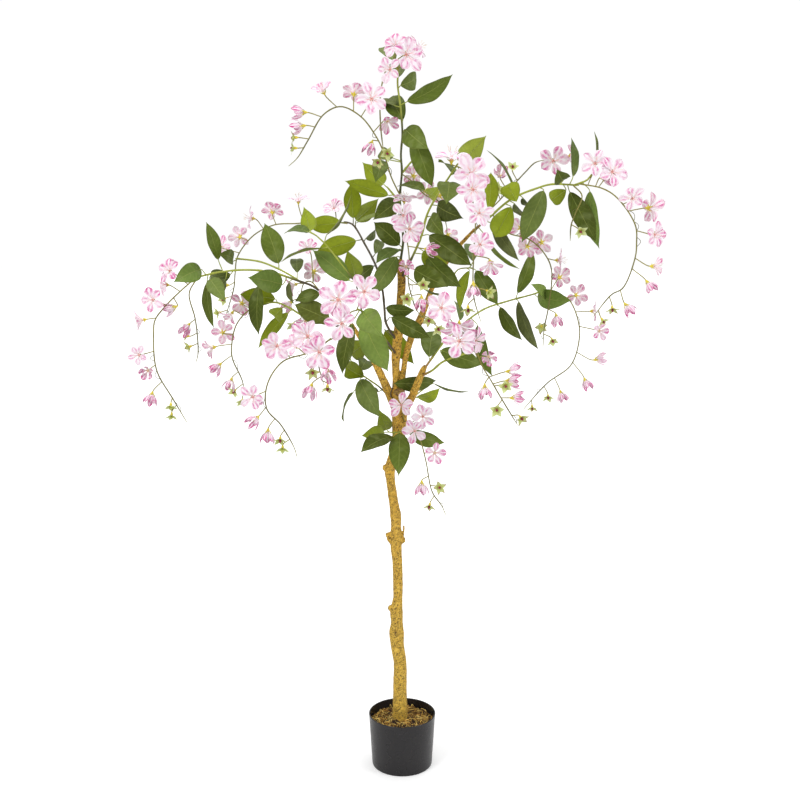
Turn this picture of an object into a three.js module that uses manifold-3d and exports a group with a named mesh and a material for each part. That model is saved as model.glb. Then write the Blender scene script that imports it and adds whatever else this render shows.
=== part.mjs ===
// Flowering Hong Kong orchid tree in its nursery pot: millimetres, +Z up, facing -Y, origin under the pot
import * as THREE from "three";
import { mergeVertices } from "three/addons/utils/BufferGeometryUtils.js";
import Module from "manifold-3d";

const wasm = await Module();
wasm.setup();

// Pot and its filling
const POT_HEIGHT = 125;
const POT_TOP_RADIUS = 77.5;
const POT_BASE_RADIUS = 70;
const POT_WALL = 2.5;
const POT_FLOOR = 3;
const POT_SIDES = 32;
const CEMENT_TOP = 92;
const COIR_TOP = 107;
const COIR_HEAP = 9;
const COIR_SHREDS = 5;
const CLEARANCE = 0.3;
const SPLINTER = 0.15;

// Front elevation: the height of the eye, its distance, and its place across
const EYE_HEIGHT = 1295;
const EYE_DISTANCE = 2408;
const EYE_ACROSS = -5;

// Leaves
const LEAF_LENGTH = 114;
const LEAF_THICK = 1.7;
const LEAF_FOLD = 0.16;
const LEAF_ARCH = 0.07;
const STALK_RADIUS = 1.2;
const LEAF_STATIONS = [
  [0.27, 0.88],
  [0.66, 0.86],
];

// Stems
const LEAFY_STEM = 3.1;
const LEAFY_END = 2.7;
const FLOWER_STEM = 1.7;
const FLOWER_STEM_END = 1.2;
const ROOT_TAPER = 0.65;
const ROOT_SINK = 10;
const STEM_SUNK = 16;
const FLOWER_SUNK = 14;

// Blooms, each ring as [radius, height] from the heart, with half the width of a petal at its shoulder
const BLOOMS = {
  open: { heart: 0, notch: [5.5, 1], shoulder: [18.5, 6.5], half: 10, tip: [28, 6] },
  half: { heart: 1, notch: [5, 3], shoulder: [15.5, 12], half: 8, tip: [23, 15] },
  bell: { heart: 2, notch: [6.5, 8], tip: [16.5, 22] },
  bud: { heart: 15, notch: [4.5, 2], tip: [14, 7] },
};
const PETALS = 5;
const STAND_OFF = 15;
const ROOM = 0.55;
const CALYX_DEPTH = 6;
const CALYX_RADIUS = 1.7;
const PEDICEL_RADIUS = 0.6;

const BARK = { color: 0xc49a3c, roughness: 0.85, metalness: 0 };
const LEAF_GREEN = { color: 0x4f7a2e, roughness: 0.5, metalness: 0 };
const PETAL_PINK = { color: 0xf2c4da, roughness: 0.6, metalness: 0 };
const POT_BLACK = { color: 0x1c1c1e, roughness: 0.45, metalness: 0 };
const CEMENT_GREY = { color: 0x8d8a84, roughness: 0.95, metalness: 0 };
const COIR_BROWN = { color: 0x7a5a30, roughness: 0.95, metalness: 0 };

// Seeded draw between 0 and 1, a small linear congruence
function dice(seed) {
  let state = seed;
  return () => {
    state = (state * 1103515245 + 12345) % 2147483648;
    return state / 2147483648;
  };
}

// A point of the front elevation, in centimetres across and up, slid along the line of sight to a depth
function sight([across, up, depth = 0]) {
  const scale = (EYE_DISTANCE + depth * 10) / EYE_DISTANCE;
  return new THREE.Vector3(
    EYE_ACROSS + (across * 10 - EYE_ACROSS) * scale,
    depth * 10,
    EYE_HEIGHT + (up * 10 - EYE_HEIGHT) * scale,
  );
}
const EYE = new THREE.Vector3(EYE_ACROSS, -EYE_DISTANCE, EYE_HEIGHT);

function solidOf(points, faces) {
  return new wasm.Manifold(
    new wasm.Mesh({
      numProp: 3,
      vertProperties: new Float32Array(points.flatMap((p) => [p.x, p.y, p.z])),
      triVerts: new Uint32Array(faces.flat()),
    }),
  );
}

function solidOfGeometry(geometry) {
  geometry.deleteAttribute("normal");
  geometry.deleteAttribute("uv");
  const merged = mergeVertices(geometry, 1e-4);
  return new wasm.Manifold(
    new wasm.Mesh({
      numProp: 3,
      vertProperties: merged.attributes.position.array,
      triVerts: new Uint32Array(merged.index.array),
    }),
  );
}

function meshOf(name, solid, look) {
  const mesh = solid.simplify(SPLINTER).getMesh();
  const geometry = new THREE.BufferGeometry();
  geometry.setAttribute("position", new THREE.BufferAttribute(mesh.vertProperties, 3));
  geometry.setIndex(new THREE.BufferAttribute(mesh.triVerts, 1));
  geometry.computeVertexNormals();
  const piece = new THREE.Mesh(geometry, new THREE.MeshStandardMaterial(look));
  piece.name = name;
  return piece;
}

// A ring of points round each place of the path, carried along without twisting, and closed by two flat ends
function tube(path, radii, sides) {
  const along = path.map((p, i) =>
    path[Math.min(i + 1, path.length - 1)].clone().sub(path[Math.max(i - 1, 0)]).normalize(),
  );
  const aside = new THREE.Vector3(0.31, 1, 0.17).cross(along[0]).normalize();
  const points = [];
  path.forEach((place, i) => {
    aside.addScaledVector(along[i], -aside.dot(along[i])).normalize();
    const other = along[i].clone().cross(aside);
    for (let k = 0; k < sides; k++) {
      const turn = (2 * Math.PI * k) / sides;
      points.push(
        place.clone()
          .addScaledVector(aside, radii[i] * Math.cos(turn))
          .addScaledVector(other, radii[i] * Math.sin(turn)),
      );
    }
  });
  const faces = [];
  const last = (path.length - 1) * sides;
  for (let i = 0; i < last; i += sides)
    for (let k = 0; k < sides; k++) {
      const next = (k + 1) % sides;
      faces.push([i + k, i + next, i + sides + next]);
      faces.push([i + k, i + sides + next, i + sides + k]);
    }
  for (let k = 1; k < sides - 1; k++) {
    faces.push([0, k + 1, k]);
    faces.push([last, last + k, last + k + 1]);
  }
  return solidOf(points, faces);
}

// A smooth stem through hand-set places, with its radius falling evenly from root to end
function stem(places, rootRadius, endRadius, step) {
  const curve = new THREE.CatmullRomCurve3(places, false, "centripetal");
  const count = Math.max(2, Math.round(curve.getLength() / step));
  const path = curve.getSpacedPoints(count);
  const radii = path.map((p, i) => rootRadius + ((endRadius - rootRadius) * i) / count);
  radii[0] *= ROOT_TAPER;
  return { path, radii };
}

// Points 2 mm apart along a stem
function walk(path) {
  const places = [];
  for (let i = 0; i < path.length - 1; i++) {
    const steps = Math.max(1, Math.round(path[i].distanceTo(path[i + 1]) / 2));
    for (let k = 0; k < steps; k++) places.push(path[i].clone().lerp(path[i + 1], k / steps));
  }
  places.push(path[path.length - 1].clone());
  return places;
}

// Where a place is seen on the front elevation, in millimetres across and up
function seen(place) {
  const scale = (EYE_DISTANCE + place.y) / EYE_DISTANCE;
  return [EYE_ACROSS + (place.x - EYE_ACROSS) / scale, EYE_HEIGHT + (place.z - EYE_HEIGHT) / scale];
}

// The point of a set of stems nearest to a place in space, `short` of each stem's end
function nearestOn(paths, place, short = 0) {
  const places = paths.flatMap((path) => walk(path).slice(0, short ? -Math.round(short / 2) : undefined));
  return places.reduce((best, p) => (p.distanceTo(place) < best.distanceTo(place) ? p : best));
}

// The point nearest to a place on the elevation, clear of the sunk root of the first stem
function nearestSeen(paths, across, up, sunk) {
  const places = paths.flatMap((path, i) => walk(path).slice(i ? 2 : Math.round(sunk / 2)));
  const gap = (p) => {
    const [x, z] = seen(p);
    return Math.hypot(x - across * 10, z - up * 10);
  };
  return places.reduce((best, p) => (gap(p) < gap(best) ? p : best));
}

// Where a stalk leaves its stem: `back` along the stem from the point nearest to the stalk's end
function rootOn(paths, place, sunk, back) {
  let best = null;
  let least = Infinity;
  paths.forEach((path, i) => {
    const places = walk(path).slice(i ? 2 : Math.round(sunk / 2));
    places.forEach((p, k) => {
      if (p.distanceTo(place) < least) {
        least = p.distanceTo(place);
        best = places[Math.max(0, k - Math.round(back / 2))];
      }
    });
  });
  return best;
}

// The tip of a leaf: the point of the line of sight that lies a leaf's length from its base, near or far
function tipOf(base, across, up, side) {
  const look = sight([across, up]).sub(EYE).normalize();
  const reach = base.clone().sub(EYE);
  const nearest = look.dot(reach);
  const spare = nearest * nearest - reach.lengthSq() + LEAF_LENGTH * LEAF_LENGTH;
  return EYE.clone().addScaledVector(look, nearest + side * Math.sqrt(Math.max(0, spare)));
}

// A set of offsets turned with a direction, the shortest way
function turned(offsets, from, to) {
  const turn = new THREE.Quaternion().setFromUnitVectors(from, to);
  return offsets.map((offset) => offset.clone().applyQuaternion(turn));
}

// A leaf's row is [base, base, tip, tip, side, roll, width, slide]: side 1 turns its tip away from the eye
// A leaf on its stalk as one body: a pointed blade arched along its rib, with both halves lifted off it
function leaf(paths, sunk, [baseX, baseZ, tipX, tipZ, side, roll, width, slide = 0]) {
  const near = nearestSeen(paths, baseX, baseZ, sunk);
  const base = sight([baseX, baseZ, near.y / 10 + slide]);
  const root = rootOn(paths, base, sunk, 6);
  const tip = tipOf(base, tipX, tipZ, side);
  const axis = tip.clone().sub(base);
  const length = axis.length();
  axis.normalize();
  const normal = EYE.clone().sub(base);
  normal.addScaledVector(axis, -normal.dot(axis)).normalize();
  normal.applyAxisAngle(axis, THREE.MathUtils.degToRad(roll));
  const across = axis.clone().cross(normal);
  const half = width * 5;
  const stalk = base.clone().sub(root).normalize();
  const turn = axis.clone().add(stalk).normalize();
  const points = [];
  const corners = turned(
    [-30, 90, 210].map((angle) => across.clone().applyAxisAngle(axis, THREE.MathUtils.degToRad(angle))),
    axis,
    turn,
  );
  for (const place of [root, base])
    for (const corner of corners) points.push(place.clone().addScaledVector(corner, STALK_RADIUS));
  for (const [s, share] of LEAF_STATIONS) {
    const middle = base
      .clone()
      .addScaledVector(axis, length * s)
      .addScaledVector(normal, length * LEAF_ARCH * 4 * s * (1 - s));
    const rim = (sign) =>
      middle.clone()
        .addScaledVector(across, sign * half * share)
        .addScaledVector(normal, half * share * LEAF_FOLD);
    points.push(rim(1), middle.clone().addScaledVector(normal, -LEAF_THICK / 2));
    points.push(rim(-1), middle.clone().addScaledVector(normal, LEAF_THICK / 2));
  }
  points.push(tip);
  const faces = [[0, 2, 1]];
  for (let k = 0; k < 3; k++) {
    const next = (k + 1) % 3;
    faces.push([k, next, 3 + next], [k, 3 + next, 3 + k]);
  }
  faces.push([3, 4, 7], [3, 7, 6], [4, 5, 8], [4, 8, 7], [5, 9, 8], [5, 3, 9], [3, 6, 9]);
  const last = points.length - 5;
  for (let i = 6; i < last; i += 4)
    for (let k = 0; k < 4; k++) {
      const next = (k + 1) % 4;
      const [a, b, c, d] = [i + k, i + next, i + 4 + next, i + 4 + k];
      if (k % 2) faces.push([a, b, d], [b, c, d]);
      else faces.push([a, b, c], [a, c, d]);
    }
  for (let k = 0; k < 4; k++) faces.push([last + k, last + ((k + 1) % 4), last + 4]);
  return solidOf(points, faces);
}

// The way a bloom faces (turn: 0 to the eye, 90 to the right; tilt: 90 straight up)
function wayOf(turn, tilt) {
  const yaw = THREE.MathUtils.degToRad(turn);
  const pitch = THREE.MathUtils.degToRad(tilt);
  const level = Math.cos(pitch);
  return new THREE.Vector3(Math.sin(yaw) * level, -Math.cos(yaw) * level, Math.sin(pitch));
}

// The depth of each bloom, off its stem the way it faces, with two that would meet moved apart
function depthsOf(paths, sunk, rows) {
  const blooms = rows.map(([across, up, kind, turn, tilt, slide = 0, size = 1]) => ({
    across: across * 10,
    up: up * 10,
    depth: nearestSeen(paths, across, up, sunk).y + wayOf(turn, tilt).y * STAND_OFF * size + slide * 10,
    reach: BLOOMS[kind].tip[0] * size,
  }));
  for (let round = 0; round < 24; round++)
    blooms.forEach((a, i) =>
      blooms.slice(0, i).forEach((b) => {
        const aside = Math.hypot(a.across - b.across, a.up - b.up);
        const need = (a.reach + b.reach) * ROOM;
        const gap = a.depth - b.depth || (i % 2 ? 1 : -1);
        const lack = Math.sqrt(Math.max(0, need * need - aside * aside)) - Math.abs(gap);
        if (lack <= 0) return;
        a.depth += (Math.sign(gap) * lack) / 3;
        b.depth -= (Math.sign(gap) * lack) / 3;
      }),
    );
  return blooms.map(({ depth }) => depth);
}

// A bloom on its stalk as one body
function bloom(paths, sunk, depth, [across, up, kind, turn, tilt, slide = 0, size = 1], index) {
  const { heart, notch, shoulder, half, tip } = BLOOMS[kind];
  const centre = sight([across, up, depth / 10]);
  const facing = wayOf(turn, tilt);
  const frame = new THREE.Quaternion().setFromUnitVectors(new THREE.Vector3(0, 0, 1), facing);
  const place = (radius, angle, rise, aside = 0) =>
    new THREE.Vector3(
      radius * Math.cos(angle) - aside * Math.sin(angle),
      radius * Math.sin(angle) + aside * Math.cos(angle),
      rise,
    ).multiplyScalar(size).applyQuaternion(frame).add(centre);
  const back = place(0, 0, -CALYX_DEPTH);
  const root = rootOn(paths, back, sunk, 8);
  const stalk = back.clone().sub(root).normalize();
  const neck = facing.clone().add(stalk).normalize();
  const spin = index * 0.9;
  const corners = [0, 1, 2].map((k) => place(1 / size, spin + (2 * Math.PI * k) / 3, 0).sub(centre));
  const ring = turned(corners, facing, neck).map((p) => back.clone().addScaledVector(p, CALYX_RADIUS * size));
  const foot = turned(corners, facing, neck).map((p) => root.clone().addScaledVector(p, PEDICEL_RADIUS));
  const rim = [];
  for (let k = 0; k < PETALS; k++) {
    const angle = spin + (2 * Math.PI * k) / PETALS;
    rim.push(place(notch[0], angle - Math.PI / PETALS, notch[1]));
    if (half) rim.push(place(shoulder[0], angle, shoulder[1], -half));
    rim.push(place(tip[0], angle, tip[1]));
    if (half) rim.push(place(shoulder[0], angle, shoulder[1], half));
  }
  const points = [place(0, 0, heart), ...ring, ...foot, ...rim];
  const faces = [[4, 6, 5]];
  for (let k = 0; k < 3; k++) {
    const next = (k + 1) % 3;
    faces.push([4 + k, 4 + next, 1 + next], [4 + k, 1 + next, 1 + k]);
  }
  // Each stretch of the rim goes to the ring corner nearest to it
  const corner = (i) => Math.floor(((i + 0.5) / rim.length) * 3 + 0.35) % 3;
  rim.forEach((p, i) => {
    const here = 7 + i;
    const next = 7 + ((i + 1) % rim.length);
    const now = corner(i);
    const then = corner((i + 1) % rim.length);
    faces.push([0, here, next], [1 + now, next, here]);
    if (now !== then) faces.push([1 + now, 1 + then, next]);
  });
  return solidOf(points, faces);
}

// The plain hole that a stem's root stands in: the stem a clearance thicker, as far as it runs in its host
function rootHole({ path, radii }, sides, length) {
  const start = path[0].clone().add(path[0].clone().sub(path[1]).setLength(CLEARANCE));
  const kept = [start, ...path.slice(1).filter((p, i) => i === 0 || p.distanceTo(path[0]) < length)];
  return tube(kept, kept.map((p, i) => radii[i] + CLEARANCE / Math.cos(Math.PI / sides)), sides);
}

// Wood: [across, up, depth] on the front elevation in centimetres, and the radius there in millimetres
const WOOD = {
  trunk: [
    [-0.4, 2, 0, 16],
    [-0.5, 12, 0, 17],
    [-0.5, 15.5, 0, 16.5],
    [-0.5, 20, 0, 15.5],
    [-0.5, 25, 0, 14.5],
    [-1.1, 29, 0, 14.5],
    [-1.3, 32.3, 0, 17],
    [-1.2, 34.8, 0, 13.5],
    [-1.3, 37.2, 0, 14.5],
    [-1, 40.5, 0, 10.5],
    [-1, 45, 0, 10.8],
    [-1.1, 49, 0, 10.8],
    [-1.4, 52.5, 0, 12.5],
    [-1.4, 55, 0, 13],
    [-1.4, 57.5, 0, 11],
    [-1.5, 60.5, 0, 12.5],
    [-1.9, 63, 0, 10.8],
    [-2.3, 66, 0, 10],
    [-2.6, 68.5, 0, 10],
    [-2.8, 70.5, 0, 11.5],
    [-2.3, 73, 0, 11],
    [-1.3, 75.5, 0, 12],
    [-0.8, 79, 0, 14.5],
    [-0.6, 82, 0, 16.5],
    [-0.7, 85.5, 0, 18],
    [-0.8, 88, 0, 14],
  ],
  sawn_end: [
    [-0.7, 85.6, 0.2, 13],
    [-0.7, 88.6, -1.9, 12.8],
  ],
  middle: [
    [-1.1, 85, 0.3, 10],
    [-1.3, 88, 0.3, 9],
    [-1.4, 91.5, 0.3, 7.6],
    [-1.45, 95, 0.2, 8.8],
    [-1.3, 98, 0, 10.4],
    [-0.95, 101, 0, 10.8],
    [-0.6, 105, 0, 9.6],
    [-0.3, 110, 0, 8.5],
    [-0.2, 114, 0, 9],
    [-0.7, 117.8, 0, 7],
  ],
  left: [
    [-1.4, 84.5, 0, 9.5],
    [-2.2, 86.5, 0, 9],
    [-3.9, 90.5, -0.5, 8.8],
    [-6, 95, -0.5, 7.4],
    [-9.5, 101, 0, 5],
    [-13.5, 107, 1, 4.2],
    [-17.3, 110.7, 2, 3.6],
  ],
  second: [
    [-0.2, 86, 0.4, 7],
    [0.1, 91, 0.6, 6],
    [0.5, 95, 0.8, 6],
    [1.3, 98.5, 0.8, 7],
    [2.3, 101.5, 0.8, 7.5],
    [4, 104.8, 0.8, 8.5],
    [5.3, 108.2, 0.8, 6],
    [6.5, 111.5, 1, 5.5],
    [8.4, 115.6, 1, 6],
    [10.3, 118.3, 1, 6],
    [12.9, 121.3, 1, 4],
    [15.7, 124.3, 1, 3.6],
  ],
  right_stub: [
    [-0.2, 82.5, -0.2, 10],
    [0.8, 84.8, -0.6, 9.5],
    [2.4, 88, -1.3, 8.5],
    [3.8, 91.5, -1.7, 8],
    [4.7, 93.6, -1.7, 6.5],
    [5.2, 94.5, -1.7, 4],
  ],
  low_ledge: [
    [-1.3, 37.4, 0, 9],
    [-2.5, 38.1, 0, 7],
    [-3.2, 38.4, 0, 4],
  ],
  left_knob: [
    [-1.5, 53.4, 0, 10],
    [-2.8, 55, 0, 8],
    [-3.2, 56.1, 0, 6],
  ],
  right_knob: [
    [-1.3, 54, 0, 9],
    [0, 54.4, 0, 7.5],
    [0.7, 54.6, 0, 5],
  ],
  dry_twig: [
    [0.1, 54.4, 0, 2.6],
    [0.3, 56, 0, 2.2],
    [0.4, 57.9, 0, 1.9],
  ],
  high_knob: [
    [-2.7, 71, 0, 10],
    [-3.8, 71.3, 0, 7.5],
    [-4.4, 71.4, 0, 4.5],
  ],
};

// Leafy sprays. The first stem is rooted in the wood, the others on the first one
const SPRAYS = {
  leader: {
    stems: [
      [
        [-0.6, 116.5, 0], [0.2, 122, -0.5], [-0.3, 127, 0], [-0.5, 131.5, 0.5], [-0.1, 136.5, 0],
        [-0.3, 140, 0],
        [0, 144.5, 0], [-0.4, 150, 0], [-1, 154.5, 0.5], [-0.9, 157.4, 0.4],
      ],
      [[-0.2, 136, 0], [1.9, 138.5, 0.5], [3, 139.3, 0.5]],
      [[-0.4, 130, 0.4], [-2.4, 132.2, 0.4], [-3.4, 133.4, 0.4]],
    ],
    leaves: [
      [-0.9, 156, -0.6, 159.4, 1, 0, 3.2],
      [-1.6, 159.4, -4.3, 162.2, 1, 30, 3.4],
      [-0.4, 154.3, 2.9, 156.2, 1, 20, 3.8],
      [1, 151, 10.7, 156.6, 0, 35, 4.4],
      [-1.7, 150.2, -6.9, 150.6, 1, 80, 4],
      [0.1, 147.2, -2.1, 152.6, 1, 0, 4.4],
      [0.6, 145.3, 5.6, 141.2, -1, 0, 4.8],
      [2.3, 144, 6.5, 133.1, 0, 5, 4.5],
      [-2, 139.3, -4.6, 141, 1, 0, 2.8],
      [-4.6, 139, -5.8, 134.2, -1, 0, 3.4],
      [-3, 131.5, -12.4, 134.6, 0, 165, 3.4],
      [-4, 133.8, -8.4, 138.3, 1, 180, 4.2],
      [-0.9, 130.4, -6.3, 126.3, -1, 15, 4.2],
      [-0.9, 127.2, -10.3, 125.7, 0, 75, 4],
      [-0.6, 120.9, -6.2, 125.8, 0, 0, 4.2],
      [-0.6, 120, -5.8, 117, -1, 50, 3.6],
      [-1.2, 118.4, -7, 109.6, -1, 0, 4.2],
    ],
  },
  upper_left: {
    stems: [
      [
        [-1.2, 99.8, 0], [-3.6, 104, -3], [-3.9, 107, -3], [-4.3, 111, -2], [-5.6, 116, 0],
        [-8.2, 121.2, 4],
        [-10.8, 125.3, 8], [-12.6, 125.9, 9],
      ],
    ],
    leaves: [
      [-10.6, 126.6, -11, 134.2, 0, 170, 4],
      [-10, 126.1, -5.1, 130.8, 1, 175, 3.8],
      [-10, 121.8, -18.8, 119.3, 0, 180, 4.4],
      [-13.3, 125.7, -20.8, 125.2, 0, 175, 4],
      [-7.9, 122.3, -5.8, 124.7, 1, 60, 2.6],
      [-5.9, 119, -4.7, 121.9, 1, 0, 2.4],
      [-6.2, 116.4, -10.4, 113, 1, 10, 3.4],
      [-3.6, 107.2, 2.8, 106.7, 0, 30, 3.4],
      [-2.4, 105.2, 6.2, 100.6, 0, 15, 3.9],
      [-3.8, 102.3, 2.6, 94.8, 1, 180, 4.2, 5],
    ],
  },
  left_fork: {
    stems: [
      [[-7.6, 98.2, -0.3], [-8.3, 103, -4], [-9.3, 108.5, -8], [-10.2, 112.4, -10], [-14.2, 118, -13]],
      [[-13.6, 117, -12.6], [-16.6, 121, -13.6], [-19.2, 123.4, -14]],
    ],
    radius: 2.5,
    end: 1.8,
    leaves: [
      [-19.9, 123.8, -21.2, 129, 1, 165, 3.6],
      [-20.2, 123.6, -25.6, 123.2, 1, 60, 2.6],
      [-16.4, 123, -11, 131.5, 0, 85, 3.6],
      [-17.3, 120.2, -26.6, 117.3, 0, 85, 3.6],
      [-11.5, 113.2, -19.5, 119.8, 0, 10, 4.3],
      [-10.3, 113.6, -12, 119.7, 1, 180, 3.9],
    ],
  },
  left_arm: {
    stems: [
      [
        [-16.6, 110, 2], [-20, 112.2, 2], [-22.3, 113, 2], [-28.5, 115, 1], [-34, 115.5, 0], [-40, 115, 0],
        [-46, 113.6, -1],
      ],
      [[-22.3, 113, 2], [-25, 114.7, 3], [-28, 116.2, 4], [-31, 117.3, 5], [-36.3, 118, 7]],
    ],
    leaves: [
      [-26.9, 116.9, -29.8, 125.6, 0, 0, 4.9],
      [-22.9, 114.9, -22.9, 118.1, 1, 0, 3],
      [-24.7, 112.8, -23.8, 108, 0, 60, 2.8],
      [-26.2, 112.3, -33.8, 113.9, -1, 0, 5],
      [-31.2, 112.3, -31.7, 101.2, 0, 35, 4],
      [-36.8, 117.4, -39.9, 118.9, -1, 20, 3.2],
      [-40, 117.7, -42.3, 125.9, 0, 30, 3.2],
      [-37.4, 114.6, -42, 113.2, 1, 0, 3.8],
      [-38.5, 113.6, -40.5, 111.2, 1, 0, 3],
      [-42, 113.6, -38.6, 108.6, -1, 0, 3.6],
      [-42.6, 112.8, -41.5, 102.7, 0, 45, 3],
      [-43.8, 115.6, -49.8, 112.9, -1, 0, 4.2],
      [-18, 110.4, -23.6, 108.7, 0, 35, 3.6],
    ],
  },
  left_low: {
    stems: [
      [
        [-10.3, 102.2, 0.2], [-14, 103.2, 0.5], [-20, 104.5, 2], [-25, 107.4, 3], [-27.5, 108.4, 3.5],
        [-31, 108.2, 4],
      ],
    ],
    leaves: [
      [-27.8, 109.2, -35.6, 110.2, 0, 180, 3.9],
      [-26.3, 107.2, -28.3, 105.3, -1, 180, 3.4],
      [-25, 106.2, -31.9, 98.3, 0, 150, 3.2],
      [-16, 104.6, -23.7, 108, 0, 10, 5],
    ],
  },
  front_left: {
    stems: [[[-1.2, 97, 0], [-3.5, 100, -7], [-6, 103.5, -13], [-8.5, 106.3, -18], [-10, 107, -22]]],
    leaves: [
      [-8.8, 106.4, -4.4, 100.9, -1, 0, 5],
      [-8.6, 104.4, -3.1, 93.1, 0, 0, 5.4],
      [-11, 103.7, -13.4, 92.5, 0, 25, 3.8],
    ],
  },
  lower_left: {
    stems: [
      [
        [-2.3, 86.6, 0], [-5, 89.6, 1], [-7.2, 91.2, 2], [-9, 92.5, 2.5], [-10.6, 93.9, 3],
        [-11.7, 96.6, 3.5],
      ],
    ],
    radius: 2.4,
    end: 1.8,
    leaves: [
      [-9.4, 91.4, -5, 82.8, -1, 10, 4.8],
      [-9.2, 93.4, -7.7, 95.7, 1, 0, 3.6],
      [-8.6, 92, -12.4, 94.6, -1, 180, 4],
      [-11.4, 97, -7.4, 100, 1, 180, 4.8],
      [-5.3, 88.6, -7.4, 87.9, 1, 60, 2.2],
      [-10.9, 88.4, -13.3, 81.7, 1, 85, 3],
    ],
  },
  trunk_shoot: {
    stems: [
      [[-0.9, 78.6, 0], [-0.6, 79.6, -2.8], [0.6, 79.8, -4]],
      [[-0.7, 79.4, -2.2], [-2.4, 79.4, -3], [-3.4, 79.5, -3]],
    ],
    radius: 2.4,
    end: 1.8,
    leaves: [
      [-3.4, 79.9, -5, 84.3, 1, 180, 3.4],
      [-4, 79.4, -9.2, 78.6, 1, 180, 3.8],
      [-2.2, 78.5, -9.4, 74.8, -1, 40, 4.2],
      [-0.5, 79.2, -0.8, 69.5, -1, 0, 4.7],
      [1.5, 79.4, 9.6, 76.9, 0, 20, 3.6, 1.5],
    ],
  },
  fork_leaf: {
    stems: [[[-1.6, 86.6, 0], [-2.6, 87.8, -1.9], [-2.3, 89.2, -1.8], [-1.8, 90.2, -1.6]]],
    radius: 1.8,
    end: 1.5,
    leaves: [[-1.7, 90.5, 7.8, 91, 1, 25, 3.8]],
  },
  fork_right: {
    stems: [[[1.9, 87, 0], [3.5, 88.2, 3], [6, 90.2, 5]]],
    radius: 2.2,
    end: 1.8,
    leaves: [
      [3.4, 87.2, 8.3, 89.3, 1, 150, 3],
      [7, 90.4, 15, 88.7, 0, 85, 3],
    ],
  },
  front_right: {
    stems: [
      [
        [4.6, 92, -0.4], [6.5, 93.3, -4], [8.5, 95, -8], [10.5, 96, -12], [13.5, 97, -15],
        [16, 97.8, -17],
      ],
    ],
    leaves: [[8.5, 97.9, 17.9, 94.6, 0, 15, 4.4]],
  },
  right_low: {
    stems: [
      [
        [4.9, 93.2, -0.3], [6.8, 96.5, 4], [9.8, 100.5, 9], [13.7, 104, 12], [18, 107, 15], [23, 108.7, 17],
        [28.5, 110.2, 19], [30.2, 110.8, 20],
      ],
    ],
    leaves: [
      [5.9, 96.4, 6.9, 102.2, 1, 0, 4.8],
      [16.5, 103.4, 19.9, 91.9, 0, 40, 4.2],
      [12.6, 104.5, 11.2, 109, 1, 60, 2.8],
      [25.2, 110.4, 28.4, 119.9, 0, 35, 3.8],
      [29.5, 109.7, 36.9, 108.8, -1, 0, 4.6],
      [31.8, 109.2, 28.1, 112.5, -1, 40, 2.8],
      [21.4, 107.4, 26.4, 100, 0, 40, 4],
      [25.4, 108.7, 30, 97.9, 0, 45, 4],
    ],
  },
  front_top: {
    stems: [
      [
        [0, 113.5, 0], [1, 116, -2.5], [2.5, 119, -4.5], [4.2, 123, -6.5], [5.4, 127.5, -8.5],
        [7.8, 132, -11],
        [10, 135.3, -14], [12, 138.3, -17],
      ],
    ],
    leaves: [
      [2.6, 115.6, 10, 111.8, -1, 0, 4.6],
      [5.2, 118.6, 12.9, 111.7, 0, 20, 4.4],
      [4.5, 119.6, 11, 113.9, 1, 180, 4.2, -2],
      [5.8, 123, 15.2, 116.4, 0, 0, 4.8],
      [6.1, 127, 9, 123, -1, 20, 3.8],
      [7.5, 129.3, 13, 126.6, -1, 10, 4.2],
      [10, 134.3, 9.5, 129.9, -1, 0, 4.8],
      [5.8, 131.3, 8, 133.4, 1, 180, 3],
      [12.3, 138.3, 17.8, 143.9, 1, 180, 4.6],
      [10.8, 135.9, 7.6, 138.5, 1, 80, 3.4],
      [4.8, 132.4, -1.2, 133.3, 1, 60, 3.2],
      [3.4, 112.4, 10.5, 110.2, -1, 80, 2.4],
    ],
  },
  right_mid: {
    stems: [[[7.3, 113.2, 1], [9.5, 113.2, 3], [10.8, 113.9, 4], [12.2, 115.6, 4.5], [15.3, 116, 3.5]]],
    radius: 2.2,
    end: 1.7,
    leaves: [
      [14.6, 115.4, 12.6, 106.7, 0, 130, 3.6],
      [16, 115.4, 21, 107.8, 0, 10, 4],
      [15.4, 117.4, 14, 121.3, 1, 20, 3],
    ],
  },
  right_arm: {
    stems: [
      [
        [15.2, 123.8, 1], [18.8, 126.8, 0], [23.5, 130.7, 0], [29, 133, 0.5], [32, 133.8, 1],
        [38, 133.6, 1],
      ],
      [[37, 133.7, 1], [39.8, 134.8, 0.5], [40.6, 136, 0.5]],
    ],
    leaves: [
      [23.5, 129, 20, 122.3, -1, 180, 4.8],
      [24.6, 130.2, 22.6, 134.2, -1, 180, 4.2],
      [24.1, 132.5, 18.2, 141.3, 0, 85, 3.4],
      [24.2, 129.7, 28, 126.7, 1, 70, 3],
      [26, 130.9, 29.3, 129, 1, 80, 3],
      [30.4, 132.5, 25.9, 121.4, -1, 0, 4.8],
      [34.6, 134.7, 33.2, 136.9, -1, 0, 3.6],
      [35.2, 132.6, 32, 130.4, -1, 180, 3.4],
      [36.6, 135.4, 36.1, 143.7, 1, 50, 2.8],
      [41, 136.8, 40.9, 145, 0, 80, 3, 3],
      [36, 132.2, 42.1, 121.5, -1, 0, 4.2],
      [40.3, 132.4, 42.6, 120, 0, 30, 3.8],
      [19.4, 125.4, 25.4, 117.4, -1, 30, 3.2],
      [17.4, 123.6, 25.5, 115.5, 0, 75, 3],
      [18.6, 128.4, 19, 136.4, -1, 150, 3.4],
    ],
  },
};

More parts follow.
